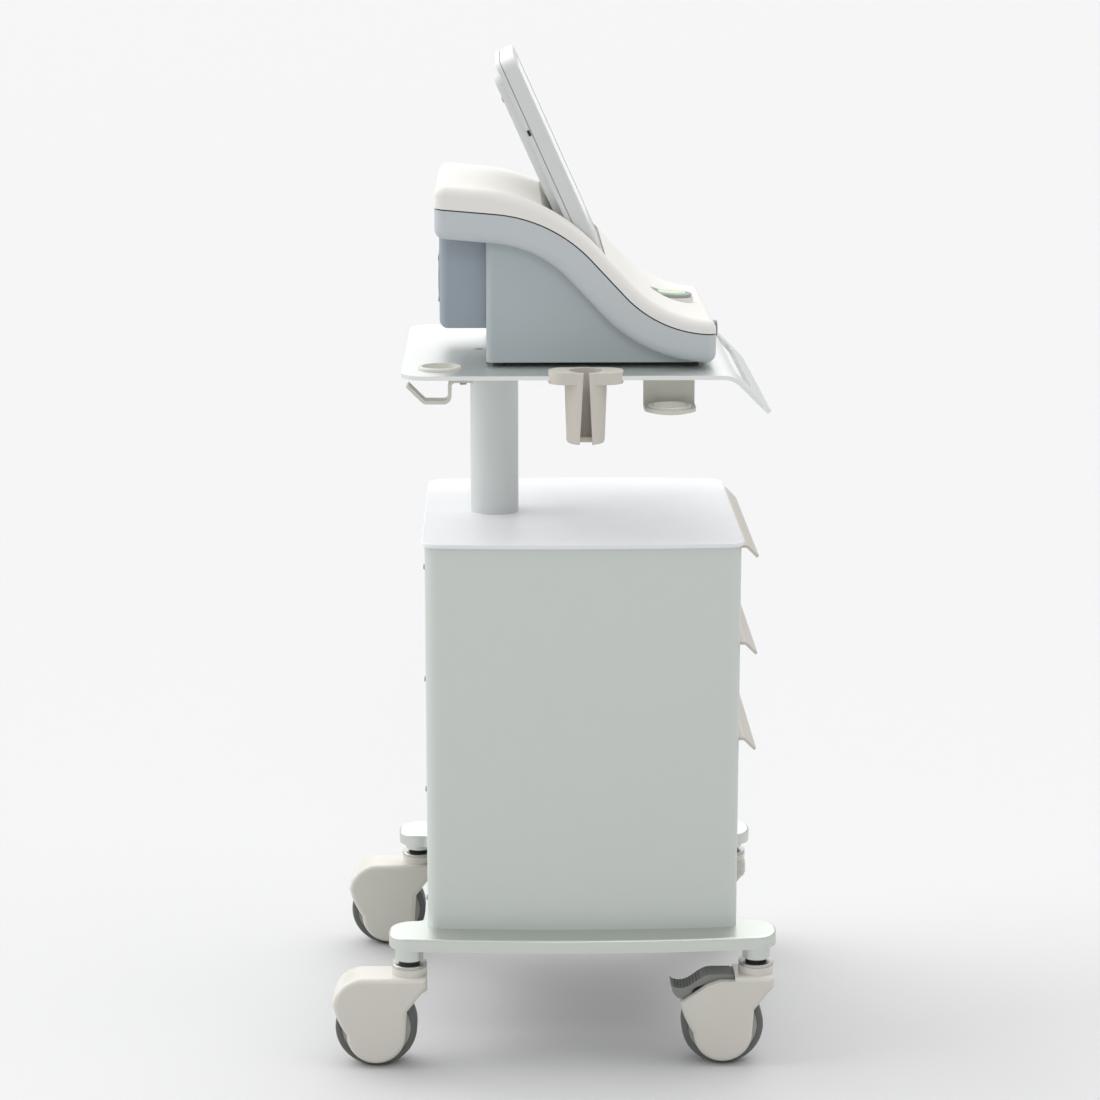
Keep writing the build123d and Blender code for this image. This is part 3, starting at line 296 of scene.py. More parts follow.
@dataclass(frozen=True)
class ScreenFinish:
    """Dark touch glass: a printed black border round a display that is switched off, its panel lighter
    towards the top as painted reflection.
    """

    name: str
    middle: tuple[float, float, float]
    lean: float
    half_width: float
    half_height: float

    def material(self) -> bpy.types.Material:
        """Build the glass with its border, the painted reflection on its panel and the faint smears of
        fingers.

        Returns:
            The material.
        """
        sheet = NodeSheet(self.name)
        mapping = sheet.add("ShaderNodeMapping", vector_type="TEXTURE")
        mapping.inputs["Location"].default_value = self.middle
        mapping.inputs["Rotation"].default_value = (0, -self.lean, 0)
        sheet.join(sheet.place, "Object", mapping, "Vector")
        split = sheet.add("ShaderNodeSeparateXYZ")
        sheet.join(mapping, "Vector", split, "Vector")
        edges = []
        for letter, half in (("Y", self.half_width), ("Z", self.half_height)):
            size = sheet.add("ShaderNodeMath", operation="ABSOLUTE")
            sheet.join(split, letter, size, 0)
            edges.append(sheet.ramp(size, 0, half - 0.0004, half + 0.0004))
        border = sheet.add("ShaderNodeMath", operation="MAXIMUM")
        sheet.join(edges[0], 0, border, 0)
        sheet.join(edges[1], 0, border, 1)
        # Painted reflection: the dark panel is made lighter towards its top edge.
        painted_top_reflection = sheet.ramp(split, "Z", -self.half_height, self.half_height)
        panel = sheet.mix(painted_top_reflection, 0, linear((26, 34, 44)), linear((44, 56, 70)))
        sheet.join(sheet.mix(border, 0, panel, linear((9, 9, 10))), 2, sheet.shader, "Base Color")
        smear = sheet.ramp(sheet.noise(22, 5), 0, 0.45, 0.75, 0.05, 0.2)
        sheet.join(smear, 0, sheet.shader, "Roughness")
        sheet.set(IOR=1.52, Coat_Weight=1.0, Coat_Roughness=0.03)
        return sheet.material


@dataclass(frozen=True)
class CapFinish:
    """The stop button's translucent cap: pale orange in the middle, with a green ring lit round it."""

    name: str
    centre: tuple[float, float]
    radius: float

    def material(self) -> bpy.types.Material:
        """Build the cap's rings of colour.

        Returns:
            The material.
        """
        sheet = NodeSheet(self.name)
        flat = sheet.add("ShaderNodeMapping")
        flat.inputs["Location"].default_value = (-self.centre[0], -self.centre[1], 0)
        flat.inputs["Scale"].default_value = (1, 1, 0)
        sheet.join(sheet.place, "Object", flat, "Vector")
        reach = sheet.add("ShaderNodeVectorMath", operation="LENGTH")
        sheet.join(flat, "Vector", reach, 0)
        ring = sheet.ramp(reach, "Value", self.radius * 0.66, self.radius * 0.74)
        core = sheet.ramp(reach, "Value", 0, self.radius * 0.6)
        middle = sheet.mix(core, 0, linear((246, 206, 186)), linear((236, 218, 206)))
        sheet.join(sheet.mix(ring, 0, middle, linear((186, 228, 182))), 2, sheet.shader, "Base Color")
        sheet.bump(ring, 0, 0.0003, 0.6)
        rough = sheet.ramp(sheet.noise(50, 4), 0, 0.3, 0.7, 0.22, 0.34)
        sheet.join(rough, 0, sheet.shader, "Roughness")
        sheet.set(Subsurface_Weight=0.15, Subsurface_Scale=0.003)
        return sheet.material


@dataclass(frozen=True)
class BoardFinish:
    """A printed circuit board: green mask, copper runs under it and dark chips above it."""

    name: str
    top: float

    def material(self) -> bpy.types.Material:
        """Build the board's mask, runs and chips.

        Returns:
            The material.
        """
        sheet = NodeSheet(self.name)
        runs = sheet.add("ShaderNodeTexBrick")
        runs.inputs["Scale"].default_value = 160
        runs.inputs["Color1"].default_value = linear((34, 104, 60))
        runs.inputs["Color2"].default_value = linear((30, 92, 54))
        runs.inputs["Mortar"].default_value = linear((96, 140, 74))
        sheet.join(sheet.place, "Object", runs, "Vector")
        mask = sheet.add("ShaderNodeMix", data_type="RGBA")
        step = sheet.ramp(sheet.axis("Z"), "Z", self.top + 0.0002, self.top + 0.0006)
        sheet.join(step, 0, mask, 0)
        sheet.join(runs, "Color", mask, 6)
        mask.inputs[7].default_value = linear((26, 26, 28))
        sheet.join(mask, 2, sheet.shader, "Base Color")
        sheet.set(Roughness=0.38)
        return sheet.material


FRAME_COAT = Finish("frame_coat", (205, 211, 204), Surface.POWDER, 0.42)
CABINET_COAT = Finish("cabinet_coat", (184, 189, 181), Surface.POWDER, 0.46, 0.018)
TOP_COAT = Finish("top_coat", (226, 227, 229), Surface.POWDER, 0.4, 0.015)
PANEL = Finish("drawer_panel", (214, 217, 212), Surface.MOULDED, 0.5, 0.02)
SHEET_STEEL = Finish("sheet_steel", (176, 178, 178), Surface.BRUSHED, 0.42, 0.08)
PLATED = Finish("plated_steel", (188, 186, 182), Surface.BRUSHED, 0.3, 0.06)
PULL_COAT = Finish("pull_coat", (226, 221, 213), Surface.POWDER, 0.4, 0.03)
SHELF_COAT = Finish("shelf_coat", (218, 220, 222), Surface.POWDER, 0.38, 0.015)
COLUMN_COAT = Finish("column_coat", (196, 200, 195), Surface.POWDER, 0.4, 0.02)
HOLDER_PLASTIC = Finish("holder_plastic", (176, 173, 163), Surface.MOULDED, 0.5, 0.03, 900)
BRACKET_COAT = Finish("bracket_coat", (198, 197, 186), Surface.POWDER, 0.44, 0.03)
CASTER_PLASTIC = Finish("caster_plastic", (221, 222, 210), Surface.GLOSS, 0.28, 0.02)
HUB_PLASTIC = Finish("hub_plastic", (190, 190, 182), Surface.MOULDED, 0.5, 0.03)
TREAD = Finish("tread_rubber", (96, 99, 98), Surface.RUBBER, 0.62, 0.08)
UPPER_SHELL = Finish("upper_shell_plastic", (224, 226, 225), Surface.MOULDED, 0.44, 0.015)
LOWER_SHELL = Finish("lower_shell_plastic", (203, 209, 210), Surface.MOULDED, 0.46, 0.02)
PEDESTAL = Finish("pedestal_plastic", (210, 218, 219), Surface.MOULDED, 0.48, 0.02)
BLOCK = Finish("block_plastic", (168, 175, 176), Surface.MOULDED, 0.5, 0.03)
DISPLAY_PLASTIC = Finish("display_plastic", (237, 239, 239), Surface.MOULDED, 0.44, 0.015)
RING_PLASTIC = Finish("ring_plastic", (222, 220, 228), Surface.GLOSS, 0.3, 0.03)
PALE_PLASTIC = Finish("grommet_plastic", (206, 205, 196), Surface.MOULDED, 0.46, 0.03)
DARK_PLASTIC = Finish("dark_plastic", (40, 41, 43), Surface.MOULDED, 0.5, 0.1)
DARK_RUBBER = Finish("dark_rubber", (52, 52, 54), Surface.RUBBER, 0.7, 0.1)
# Painted shade: the dark seam_seal strip in the shells' seam stands in for the seam's shadow line.
SEAM_SHADOW_STRIP = Finish("seam_seal", (62, 64, 65), Surface.RUBBER, 0.6, 0.05)
BRASS = Finish("contact_brass", (196, 160, 92), Surface.BRUSHED, 0.3, 0.05)
SOCKET_METAL = Finish("socket_metal", (128, 128, 130), Surface.BRUSHED, 0.36, 0.05)


def dress(node: str, finish: object) -> None:
    """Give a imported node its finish.

    Args:
        node: The node's name.
        finish: Anything with a material method.
    """
    slots = frame["nodes"][node].data.materials
    slots.clear()
    slots.append(finish.material())


# ---------------------------------------------------------------- modelling


def clear_selection() -> None:
    """Deselect everything, so that an operator acts only on what is chosen next."""
    if bpy.context.object and bpy.context.object.mode != "OBJECT":
        bpy.ops.object.mode_set(mode="OBJECT")
    bpy.ops.object.select_all(action="DESELECT")


def pick(*pieces: bpy.types.Object) -> None:
    """Select these pieces and make the first one active."""
    clear_selection()
    for piece in pieces:
        piece.select_set(True)
    bpy.context.view_layer.objects.active = pieces[0]


def settle(piece: bpy.types.Object) -> None:
    """Put a piece's place, turn and scale into its mesh."""
    pick(piece)
    bpy.ops.object.transform_apply(location=True, rotation=True, scale=True)


def block(name: str, size: tuple[float, float, float], at: Vector, turn: tuple = (0, 0, 0),
          edge: float = 0.0004, segments: int = 3) -> bpy.types.Object:
    """Model a block with its edges rounded.

    Args:
        name: The piece's name.
        size: Its length along X, Y and Z.
        at: Its middle.
        turn: Its rotation about X, Y and Z.
        edge: The radius of its edges.
        segments: The steps in each edge.

    Returns:
        The piece.
    """
    clear_selection()
    bpy.ops.mesh.primitive_cube_add(size=1, location=at, rotation=turn)
    piece = bpy.context.object
    piece.name = name
    piece.scale = size
    settle(piece)
    round_edges(piece, edge, segments)
    return piece


def round_edges(piece: bpy.types.Object, width: float, segments: int = 3) -> None:
    """Round a piece's sharp edges with an applied bevel."""
    pick(piece)
    modifier = piece.modifiers.new("edges", "BEVEL")
    modifier.width = width
    modifier.segments = segments
    modifier.limit_method = "ANGLE"
    modifier.angle_limit = math.radians(40)
    bpy.ops.object.modifier_apply(modifier=modifier.name)
    bpy.ops.object.shade_smooth_by_angle(angle=math.radians(35))


def facing(axis: Vector) -> Matrix:
    """Give the turn that points +Z along this axis."""
    return Vector(axis).to_track_quat("Z", "Y").to_matrix().to_4x4()


def disc(name: str, radius: float, depth: float, at: Vector, axis: Vector,
         sides: int = 40) -> bpy.types.Object:
    """Model a plain round boss, whose near end is at a place and which stands out along an axis.

    Args:
        name: The piece's name.
        radius: Its radius.
        depth: How far it stands out.
        at: The middle of its near end.
        axis: The way it stands.
        sides: Its number of sides.

    Returns:
        The piece, still with its place outside its mesh.
    """
    clear_selection()
    bpy.ops.mesh.primitive_cylinder_add(radius=radius, depth=depth, vertices=sides)
    piece = bpy.context.object
    piece.name = name
    piece.matrix_world = Matrix.Translation(Vector(at) + Vector(axis).normalized() * depth / 2) @ facing(axis)
    return piece


def choose_faces(piece: bpy.types.Object, test: FaceTest) -> int:
    """Select a piece's faces that pass a test, and no other.

    Args:
        piece: The piece, in object mode.
        test: Takes a polygon and says whether it is chosen.

    Returns:
        How many faces are selected.
    """
    mesh = piece.data
    for part in (mesh.vertices, mesh.edges, mesh.polygons):
        part.foreach_set("select", [False] * len(part))
    chosen = [face for face in mesh.polygons if test(face)]
    for face in chosen:
        face.select = True
    return len(chosen)


def sink(piece: bpy.types.Object, test: FaceTest, inset: float, rise: float) -> None:
    """Inset the chosen faces of a piece and push the result in or out along their normals.

    Args:
        piece: The piece, with its place in its mesh.
        test: Takes a polygon and says whether it is chosen.
        inset: How far in from its edges.
        rise: How far out, or in if negative.
    """
    pick(piece)
    choose_faces(piece, test)
    bpy.ops.object.mode_set(mode="EDIT")
    bpy.ops.mesh.select_mode(type="FACE")
    bpy.ops.mesh.inset(thickness=inset, depth=rise, use_even_offset=True)
    bpy.ops.object.mode_set(mode="OBJECT")


def towards(axis: Vector, share: float = 0.99) -> FaceTest:
    """Give a test that picks the faces that face along an axis."""
    way = Vector(axis).normalized()
    return lambda face: face.normal.dot(way) > share


def weld(name: str, pieces: list[bpy.types.Object]) -> bpy.types.Object:
    """Join several pieces into one.

    Args:
        name: The joined piece's name.
        pieces: The pieces.

    Returns:
        The joined piece.
    """
    pick(*pieces)
    if len(pieces) > 1:
        bpy.ops.object.join()
    joined = bpy.context.object
    joined.name = joined.data.name = name
    return joined


def copy_to(piece: bpy.types.Object, shift: Vector) -> bpy.types.Object:
    """Copy a piece, with a mesh of its own, and move the copy's mesh.

    Args:
        piece: The piece to copy.
        shift: How far to move the copy.

    Returns:
        The copy.
    """
    twin = piece.copy()
    twin.data = piece.data.copy()
    bpy.context.collection.objects.link(twin)
    twin.data.transform(Matrix.Translation(shift))
    return twin


def fit(piece: bpy.types.Object, body: str, finish: object) -> None:
    """Finish a piece and let it ride on a body.

    Args:
        piece: The piece, with its place in its mesh.
        body: The body that it moves with.
        finish: Anything with a material method.
    """
    piece.data.materials.clear()
    piece.data.materials.append(finish.material())
    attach(piece, body)
    log.info("fitted %s to %s", piece.name, body)


def surface_under(node: str, start: Vector, way: Vector) -> tuple[Vector, Vector]:
    """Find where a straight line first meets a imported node.

    Args:
        node: The node's name.
        start: The line's start.
        way: Its direction.

    Returns:
        The place and the surface's normal there.

    Raises:
        ValueError: If the line misses the node.
    """
    hit, place, normal, _ = frame["nodes"][node].ray_cast(Vector(start), Vector(way).normalized())
    if not hit:
        raise ValueError(f"nothing of {node} lies along the line from {start}")
    return place, normal


def middle_of(node: str) -> Vector:
    """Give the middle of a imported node's box."""
    low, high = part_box(node)
    return (Vector(low) + Vector(high)) / 2


def frame_joint(name: str) -> Vector:
    """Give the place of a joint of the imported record.

    Args:
        name: The joint's name.

    Returns:
        A point on its axis.

    Raises:
        ValueError: If the record has no such joint.
    """
    for joint in frame["record"]["behaviour"]["joints"]:
        if joint["name"] == name:
            return Vector(joint["pos_m"])
    raise ValueError(f"no joint is called {name}")


# ---------------------------------------------------------------- sub-assemblies


@dataclass
class Screw:
    """A pan-head screw with a cross recess."""

    radius: float = 0.0034
    height: float = 0.0018

    def build(self, name: str, at: Vector, axis: Vector) -> bpy.types.Object:
        """Model the head, seated at a place.

        Args:
            name: The piece's name.
            at: The middle of its seat.
            axis: The way that the head faces.

        Returns:
            The head.
        """
        way = Vector(axis).normalized()
        head = disc(name, self.radius, self.height, at, way, 24)
        settle(head)
        round_edges(head, self.height * 0.45, 3)
        sink(head, towards(way), self.radius * 0.3, 0)
        sink(head, lambda face: face.normal.dot(way) > 0.99 and face.area > 1e-6,
             self.radius * 0.12, -self.height * 0.4)
        return head


@dataclass
class Casters:
    """The four swivel casters, with brake pedals on the front two."""

    rib_count: int = 9
    rib_pitch: float = 0.0036
    rib_size: tuple[float, float, float] = (0.0015, 0.029, 0.0013)
    rib_start: float = 0.006
    pedal_tread: float = 0.043
    seal_teeth: int = 30
    seal_radius: float = 0.0118
    seal_height: float = 0.0034
    seal_lift: float = 0.0039
    grip: Finish = Finish("grip_rubber", (96, 95, 91), Surface.RUBBER, 0.6, 0.05)

    def dress_all(self) -> None:
        """Give the hoods, hubs, treads and stems their finishes."""
        for corner in CASTERS:
            dress(f"caster_hood_{corner}", CASTER_PLASTIC)
            dress(f"wheel_hub_{corner}", HUB_PLASTIC)
            dress(f"tyre_{corner}", TREAD)
        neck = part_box("caster_hood_front_left")[1][2]
        dress("caster_stems", SplitFinish("stem_steel", (188, 186, 182), Surface.BRUSHED, 0.3, 0.06,
                                          second=(40, 40, 42), axis="Z", at=neck + 0.0042))
        for corner in FRONT_CASTERS:
            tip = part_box(f"brake_pedal_{corner}")[0][0]
            coat = SplitFinish("pedal_plastic", (128, 127, 121), Surface.MOULDED, 0.5, 0.04,
                               second=(216, 217, 205), axis="X", at=tip + self.pedal_tread)
            dress(f"brake_pedal_{corner}", coat)

    def grip_ribs(self, corner: str) -> None:
        """Model the ribs across the pedal's tread, following its curve.

        Args:
            corner: The caster's corner.
        """
        node = f"brake_pedal_{corner}"
        low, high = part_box(node)
        across = (low[1] + high[1]) / 2
        ribs = []
        for number in range(self.rib_count):
            start = Vector((low[0] + self.rib_start + number * self.rib_pitch, across, high[2] + 0.02))
            place, normal = surface_under(node, start, Vector((0, 0, -1)))
            lean = math.atan2(normal.x, normal.z)
            ribs.append(block(f"grip_rib_{number}", self.rib_size, place, (0, lean, 0), 0.0005))
        fit(weld(f"pedal_grip_{corner}", ribs), f"pedal_{corner}", self.grip)

    def swivel_seal(self, corner: str) -> None:
        """Model the toothed dust seal round the stem, on top of the steel disc.

        Args:
            corner: The caster's corner.
        """
        stem = frame_joint(f"swivel_{corner}")
        foot = Vector((stem.x, stem.y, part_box(f"caster_hood_{corner}")[1][2] + self.seal_lift))
        seal = disc(f"swivel_seal_{corner}", self.seal_radius, self.seal_height, foot, Vector((0, 0, 1)),
                    self.seal_teeth * 2)
        settle(seal)
        sides = [face.index for face in seal.data.polygons if abs(face.normal.z) < 0.1]
        teeth = set(sides[::2])
        sink(seal, lambda face: face.index in teeth, 0.0001, 0.0011)
        fit(seal, MACHINE, DARK_RUBBER)

    def build(self) -> None:
        """Dress the casters and model their small fittings."""
        self.dress_all()
        for corner in FRONT_CASTERS:
            self.grip_ribs(corner)
        for corner in CASTERS:
            self.swivel_seal(corner)


@dataclass
class Cart:
    """The base frame, the cabinet with its drawers, the column and the work shelf."""

    screw: Screw = field(default_factory=Screw)
    screws_a_side: int = 4
    screw_from_side: float = 0.036
    screw_from_end: float = 0.03

    def dress_all(self) -> None:
        """Give every part of the cart its finish."""
        dress("base_frame", FRAME_COAT)
        for node in ("side_panel_left", "side_panel_right", "back_and_floor"):
            dress(node, CABINET_COAT)
        dress("cabinet_top", TOP_COAT)
        dress("corner_posts", SHEET_STEEL)
        dress("slide_rails", SHEET_STEEL)
        dress("column", COLUMN_COAT)
        dress("fasteners", PLATED)
        dress("work_shelf", SHELF_COAT)
        dress("cable_grommet", PALE_PLASTIC)
        dress("cable_hook", BRACKET_COAT)
        dress("handpiece_holder", HOLDER_PLASTIC)
        dress("ring_bracket", BRACKET_COAT)
        dress("holder_ring", PALE_PLASTIC)
        for name in DRAWERS:
            dress(f"drawer_tray_{name}", SHEET_STEEL)
            dress(f"drawer_front_{name}", PANEL)
            dress(f"drawer_pull_{name}", PULL_COAT)
            dress(f"drawer_runners_{name}", PLATED)

    def back_screws(self) -> None:
        """Model the screws that hold the cabinet's back to its posts."""
        low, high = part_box("back_and_floor")
        half = (high[1] - low[1]) / 2 - self.screw_from_side
        pitch = (high[2] - low[2] - 2 * self.screw_from_end) / (self.screws_a_side - 1)
        heads = []
        for side in (-1, 1):
            for step in range(self.screws_a_side):
                height = low[2] + self.screw_from_end + step * pitch
                place, _ = surface_under("back_and_floor", Vector((low[0] - 0.1, side * half, height)),
                                         Vector((1, 0, 0)))
                heads.append(self.screw.build(f"back_screw_{side}_{step}", place, Vector((-1, 0, 0))))
        fit(weld("back_screws", heads), MACHINE, PLATED)

    def build(self) -> None:
        """Dress the cart and model its small fittings."""
        self.dress_all()
        self.back_screws()


@dataclass
class Console:
    """The two shells, the pedestal, the rear block and what is set into them."""

    shadow_strip_reach: float = 0.0021
    shadow_strip_depth: float = 0.0014
    shadow_strip_wall: float = 0.0003
    guard_radii: tuple[float, ...] = (0.0265, 0.019, 0.0115)
    wire: float = 0.0009
    socket_sizes: tuple[tuple[float, float], ...] = ((0.0155, 0.009), (0.0155, 0.009), (0.0165, 0.0145))

    def dress_all(self) -> None:
        """Give every part of the console its finish."""
        dress("upper_shell", UPPER_SHELL)
        dress("lower_shell", LOWER_SHELL)
        dress("pedestal", PEDESTAL)
        dress("connector_block", BLOCK)
        dress("rubber_feet", DARK_RUBBER)
        dress("power_supply", SHEET_STEEL)
        dress("main_board", BoardFinish("circuit_board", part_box("main_board")[0][2] + 0.002))
        for node in ("fan_frame", "fan_rotor", "power_inlet"):
            dress(node, DARK_PLASTIC)
        dress("handpiece_port", SOCKET_METAL)
        dress("button_ring", RING_PLASTIC)
        middle = middle_of("stop_button")
        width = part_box("stop_button")[1][1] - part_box("stop_button")[0][1]
        dress("stop_button", CapFinish("stop_cap", (middle.x, middle.y), width / 2))

    def seam_seal(self) -> None:
        """Model a dark strip in the seam, from the upper shell's own tongue: painted shade standing in for
        the seam's shadow line.
        """
        seal = copy_to(frame["nodes"]["upper_shell"], Vector())
        seal.parent = None
        seal.name = seal.data.name = "seam_seal"
        pick(seal)
        bpy.ops.object.mode_set(mode="EDIT")
        bpy.ops.mesh.select_all(action="SELECT")
        bpy.ops.mesh.remove_doubles(threshold=1e-6)
        bpy.ops.object.mode_set(mode="OBJECT")
        lower = frame["nodes"]["lower_shell"]
        low, high = (Vector(corner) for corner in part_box("lower_shell"))
        corners = [lower.closest_point_on_mesh(v.co) for v in seal.data.vertices]
        near = [hit and (place - v.co).length < self.shadow_strip_reach
                for (hit, place, _, _), v in zip(corners, seal.data.vertices)]

        def stays(face: bpy.types.MeshPolygon) -> bool:
            """Say whether a face of the tongue stands in the seam, facing out."""
            middle = face.center
            inside = (low.y + self.shadow_strip_depth < middle.y < high.y - self.shadow_strip_depth
                      and low.x + self.shadow_strip_depth < middle.x < high.x - self.shadow_strip_depth)
            outward = Vector((middle.x - (low.x + high.x) / 2, middle.y, 0))
            return (all(near[v] for v in face.vertices) and abs(face.normal.z) < 0.3 and inside
                    and face.normal.dot(outward) > 0)

        left_out = choose_faces(seal, lambda face: not stays(face))
        log.info("the seam's seal leaves out %d faces", left_out)
        bpy.ops.object.mode_set(mode="EDIT")
        bpy.ops.mesh.select_mode(type="FACE")
        bpy.ops.mesh.delete(type="FACE")
        bpy.ops.object.mode_set(mode="OBJECT")
        # The strip is painted shade: a thin dark sheet where the seam shows only its shadow.
        wall = seal.modifiers.new("wall", "SOLIDIFY")
        wall.thickness = self.shadow_strip_wall
        wall.offset = 1
        pick(seal)
        bpy.ops.object.modifier_apply(modifier=wall.name)
        fit(seal, MACHINE, SEAM_SHADOW_STRIP)

    def fan_guard(self) -> None:
        """Model the wire guard over the fan, on the block's back."""
        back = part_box("connector_block")[0][0]
        hub = middle_of("fan_frame")
        parts = []
        for radius in self.guard_radii:
            clear_selection()
            bpy.ops.mesh.primitive_torus_add(major_radius=radius, minor_radius=self.wire, major_segments=64,
                                             minor_segments=10, location=(back - self.wire, hub.y, hub.z),
                                             rotation=(0, math.pi / 2, 0))
            ring = bpy.context.object
            settle(ring)
            bpy.ops.object.shade_smooth()
            parts.append(ring)
        for turn in (math.pi / 4, -math.pi / 4):
            parts.append(block("guard_wire", (2 * self.wire, 2 * self.wire, 2.2 * self.guard_radii[0]),
                               Vector((back - self.wire, hub.y, hub.z)), (turn, 0, 0), 0.0006))
        head = Screw(0.004, 0.002)
        for y in (-1, 1):
            for z in (-1, 1):
                place = Vector((back, hub.y + y * 0.025, hub.z + z * 0.025))
                parts.append(head.build("guard_screw", place, Vector((-1, 0, 0))))
        fit(weld("fan_guard", parts), MACHINE, PLATED)

    def rear_sockets(self) -> None:
        """Model the data sockets and the mains switch on the block's back."""
        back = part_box("connector_block")[0][0]
        fan, inlet = middle_of("fan_frame"), middle_of("power_inlet")
        across = (fan.y + inlet.y) / 2 + 0.004
        out = Vector((-1, 0, 0))
        frames = []
        height = inlet.z + 0.038
        for number, (width, tall) in enumerate(self.socket_sizes):
            socket = block(f"socket_{number}", (0.0016, width, tall), Vector((back - 0.0006, across, height)),
                           edge=0.0003)
            sink(socket, towards(out), 0.0009, 0)
            sink(socket, lambda face: face.normal.dot(out) > 0.99 and face.area > 2e-5, 0.0001, -0.0012)
            frames.append(socket)
            height -= 0.0205
        fit(weld("rear_sockets", frames), MACHINE, SOCKET_METAL)
        place = Vector((back - 0.001, inlet.y, inlet.z + 0.034))
        switch = block("mains_switch", (0.003, 0.021, 0.015), place, edge=0.001)
        sink(switch, towards(out), 0.002, 0)
        sink(switch, lambda face: face.normal.dot(out) > 0.99 and face.area > 6e-5, 0.0006, 0.0016)
        fit(switch, MACHINE, DARK_PLASTIC)

    def port_contacts(self) -> None:
        """Model the contact pins and the keyed collar down inside the handpiece's socket."""
        low, high = (Vector(corner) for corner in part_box("handpiece_port"))
        middle = (low + high) / 2
        start = Vector((high.x + 0.05, middle.y, middle.z))
        floor, _ = surface_under("handpiece_port", start, Vector((-1, 0, 0)))
        pins = []
        for number in range(6):
            turn = number * math.tau / 6
            at = Vector((floor.x, middle.y + 0.003 * math.cos(turn), middle.z + 0.003 * math.sin(turn)))
            pin = disc(f"contact_{number}", 0.0006, 0.009, at, Vector((1, 0, 0)), 12)
            settle(pin)
            round_edges(pin, 0.0003, 2)
            pins.append(pin)
        pins.append(block("contact_key", (0.011, 0.0016, 0.0016),
                          Vector((floor.x + 0.0055, middle.y, middle.z - 0.0049)), edge=0.0003))
        fit(weld("port_contacts", pins), MACHINE, BRASS)

    def build(self) -> None:
        """Dress the console and model its small fittings."""
        self.dress_all()
        # seam_seal lays painted shade: a dark strip in the seam between the shells.
        self.seam_seal()
        self.fan_guard()
        self.rear_sockets()
        self.port_contacts()


@dataclass
class Display:
    """The tilting display: bezel, rear cover, touch glass and hinges."""

    lean: float = math.radians(24.4)
    border: float = 0.011
    slot_height: float = 0.155
    vent_count: int = 9
    vent_pitch: float = 0.0065
    screw: Screw = field(default_factory=Screw)

    def up(self) -> Vector:
        """Give the direction up the display's back."""
        return Vector((-math.sin(self.lean), 0, math.cos(self.lean)))

    def out(self) -> Vector:
        """Give the direction out of the display's face."""
        return Vector((math.cos(self.lean), 0, math.sin(self.lean)))

    def dress_all(self) -> None:
        """Give every part of the display its finish."""
        dress("display_bezel", DISPLAY_PLASTIC)
        dress("display_cover", DISPLAY_PLASTIC)
        dress("hinge_arms", PLATED)
        dress("hinge_brackets", PLATED)
        low, high = (Vector(corner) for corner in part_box("touch_screen"))
        middle = (low + high) / 2
        tall = (high.z - low.z) / math.cos(self.lean)
        half_width = (high.y - low.y) / 2 - self.border
        glass = ScreenFinish("touch_glass", tuple(middle), self.lean, half_width, tall / 2 - self.border)
        dress("touch_screen", glass)

    def hinge(self) -> Vector:
        """Give a point on the axis that the display tilts about."""
        return frame_joint("display_tilt")

    def lock_slot(self) -> None:
        """Model the small dark lock slot on the cover's left edge."""
        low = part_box("display_cover")[0]
        at = self.hinge() + self.up() * self.slot_height - self.out() * 0.0087
        at.y = low[1] - 0.0002
        slot = block("lock_slot", (0.0034, 0.0012, 0.0072), at, (0, -self.lean, 0), 0.0005)
        sink(slot, towards(Vector((0, -1, 0))), 0.0005, -0.0006)
        fit(slot, "display", DARK_PLASTIC)

    def rear_details(self) -> None:
        """Model the vents and the screws on the display's back."""
        back = -self.out()
        vents, heads = [], []
        for number in range(self.vent_count):
            for side in (-1, 1):
                start = self.hinge() + self.up() * (0.165 + number * self.vent_pitch) + back * 0.1
                start.y = side * 0.05
                place, _ = surface_under("display_cover", start, self.out())
                vent = block("vent", (0.0012, 0.058, 0.0022), place, (0, -self.lean, 0), 0.0005)
                vents.append(vent)
        fit(weld("display_vents", vents), "display", DARK_PLASTIC)
        for side in (-1, 1):
            for height in (0.03, 0.2):
                start = self.hinge() + self.up() * height + back * 0.1
                start.y = side * 0.1
                place, _ = surface_under("display_cover", start, self.out())
                heads.append(self.screw.build("cover_screw", place, back))
        fit(weld("cover_screws", heads), "display", PLATED)

    def build(self) -> None:
        """Dress the display and model its small fittings."""
        self.dress_all()
        self.lock_slot()
        self.rear_details()


# ---------------------------------------------------------------- studio


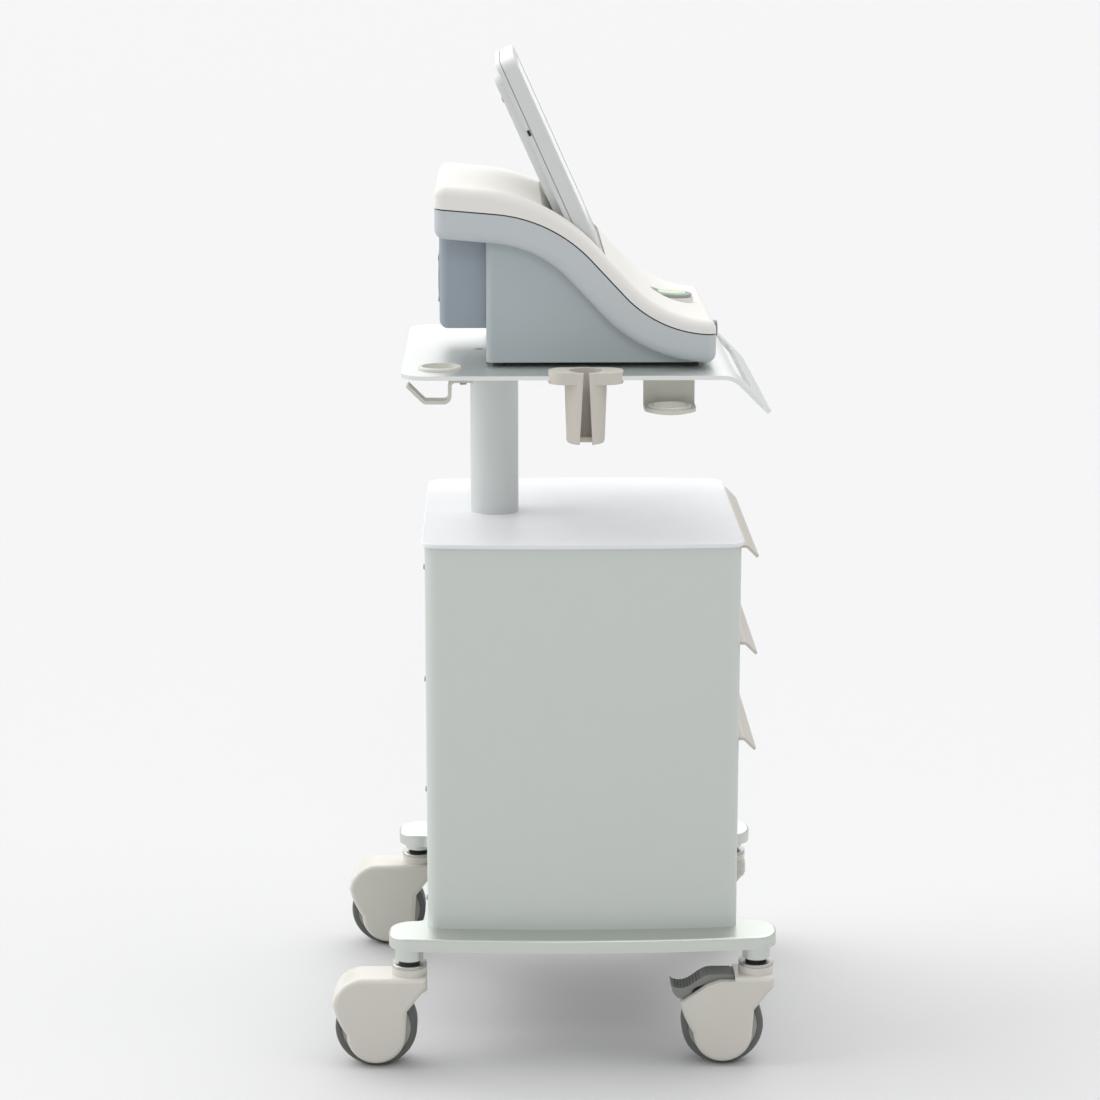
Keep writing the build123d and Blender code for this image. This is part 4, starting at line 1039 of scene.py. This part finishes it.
@dataclass
class Studio:
    """A pale floor, soft daylight-white light and the camera.

    Each sun is its name, its tilt from straight down, its turn, its strength and its width, in degrees.
    """

    floor_colour: Colour = (204, 204, 204)
    sky: float = 0.66
    suns: tuple = (("left", 54, -108, 1.9, 60), ("behind", 42, 180, 1.2, 60), ("right", 30, 98, 0.8, 60))
    box_size: tuple[float, float] = (0.5, 0.35)
    box_power: float = 6
    box_at: tuple[float, float, float] = (0.2, -2.4, 2.4)
    box_aim: Vector = field(default_factory=lambda: Vector((0, 0, 0.5)))
    lens: float = 96.8
    camera_at: Vector = field(default_factory=lambda: Vector((-0.0655, -3.64, 1.403)))
    pitch: float = math.radians(12.5)
    yaw: float = math.radians(1.0)

    def floor(self) -> None:
        """Lay a pale floor that runs out of view all round."""
        clear_selection()
        bpy.ops.mesh.primitive_plane_add(size=240)
        floor = bpy.context.object
        floor.name = "studio_floor"
        sheet = NodeSheet("studio_floor")
        sheet.shader.inputs["Base Color"].default_value = linear(self.floor_colour)
        sheet.set(Roughness=0.85, Specular_IOR_Level=0.1)
        floor.data.materials.append(sheet.material)

    def light(self) -> None:
        """Light the room evenly, with wide soft suns from the left, from behind and from the right."""
        world = bpy.data.worlds.new("studio")
        bpy.context.scene.world = world
        world.use_nodes = True
        background = world.node_tree.nodes["Background"]
        background.inputs["Color"].default_value = linear((252, 252, 255))
        background.inputs["Strength"].default_value = self.sky
        for name, tilt, turn, strength, spread in self.suns:
            lamp = bpy.data.lights.new(name, "SUN")
            lamp.energy = strength
            lamp.angle = math.radians(spread)
            holder = bpy.data.objects.new(name, lamp)
            holder.rotation_euler = (math.radians(tilt), 0, math.radians(turn))
            bpy.context.collection.objects.link(holder)
        self.softbox()

    def softbox(self) -> None:
        """Hang a small soft light in front, for the highlights on the glossy mouldings."""
        lamp = bpy.data.lights.new("softbox", "AREA")
        lamp.shape = "RECTANGLE"
        lamp.size, lamp.size_y = self.box_size
        lamp.energy = self.box_power
        holder = bpy.data.objects.new("softbox", lamp)
        holder.location = self.box_at
        aim = self.box_aim - holder.location
        holder.rotation_euler = aim.to_track_quat("-Z", "Y").to_euler()
        bpy.context.collection.objects.link(holder)

    def camera(self) -> None:
        """Stand the camera at the left of the machine, looking a little down."""
        data = bpy.data.cameras.new("camera")
        data.lens = self.lens
        data.sensor_width = 36
        data.clip_end = 500
        holder = bpy.data.objects.new("camera", data)
        holder.location = self.camera_at
        holder.rotation_euler = (math.pi / 2 - self.pitch, 0, -self.yaw)
        bpy.context.collection.objects.link(holder)
        bpy.context.scene.camera = holder

    def build(self) -> None:
        """Set up the floor, the light and the camera."""
        self.floor()
        self.light()
        self.camera()
        bpy.context.scene.view_settings.view_transform = "Standard"
        bpy.context.scene.view_settings.look = "None"


def main() -> None:
    """Build every sub-assembly in order, then the studio."""
    logging.basicConfig(level=logging.INFO, format="%(name)s: %(message)s")
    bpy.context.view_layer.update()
    for part in (Studio(), Casters(), Cart(), Console(), Display()):
        part.build()
        log.info("built %s", type(part).__name__)


if __name__ == "__main__":
    main()
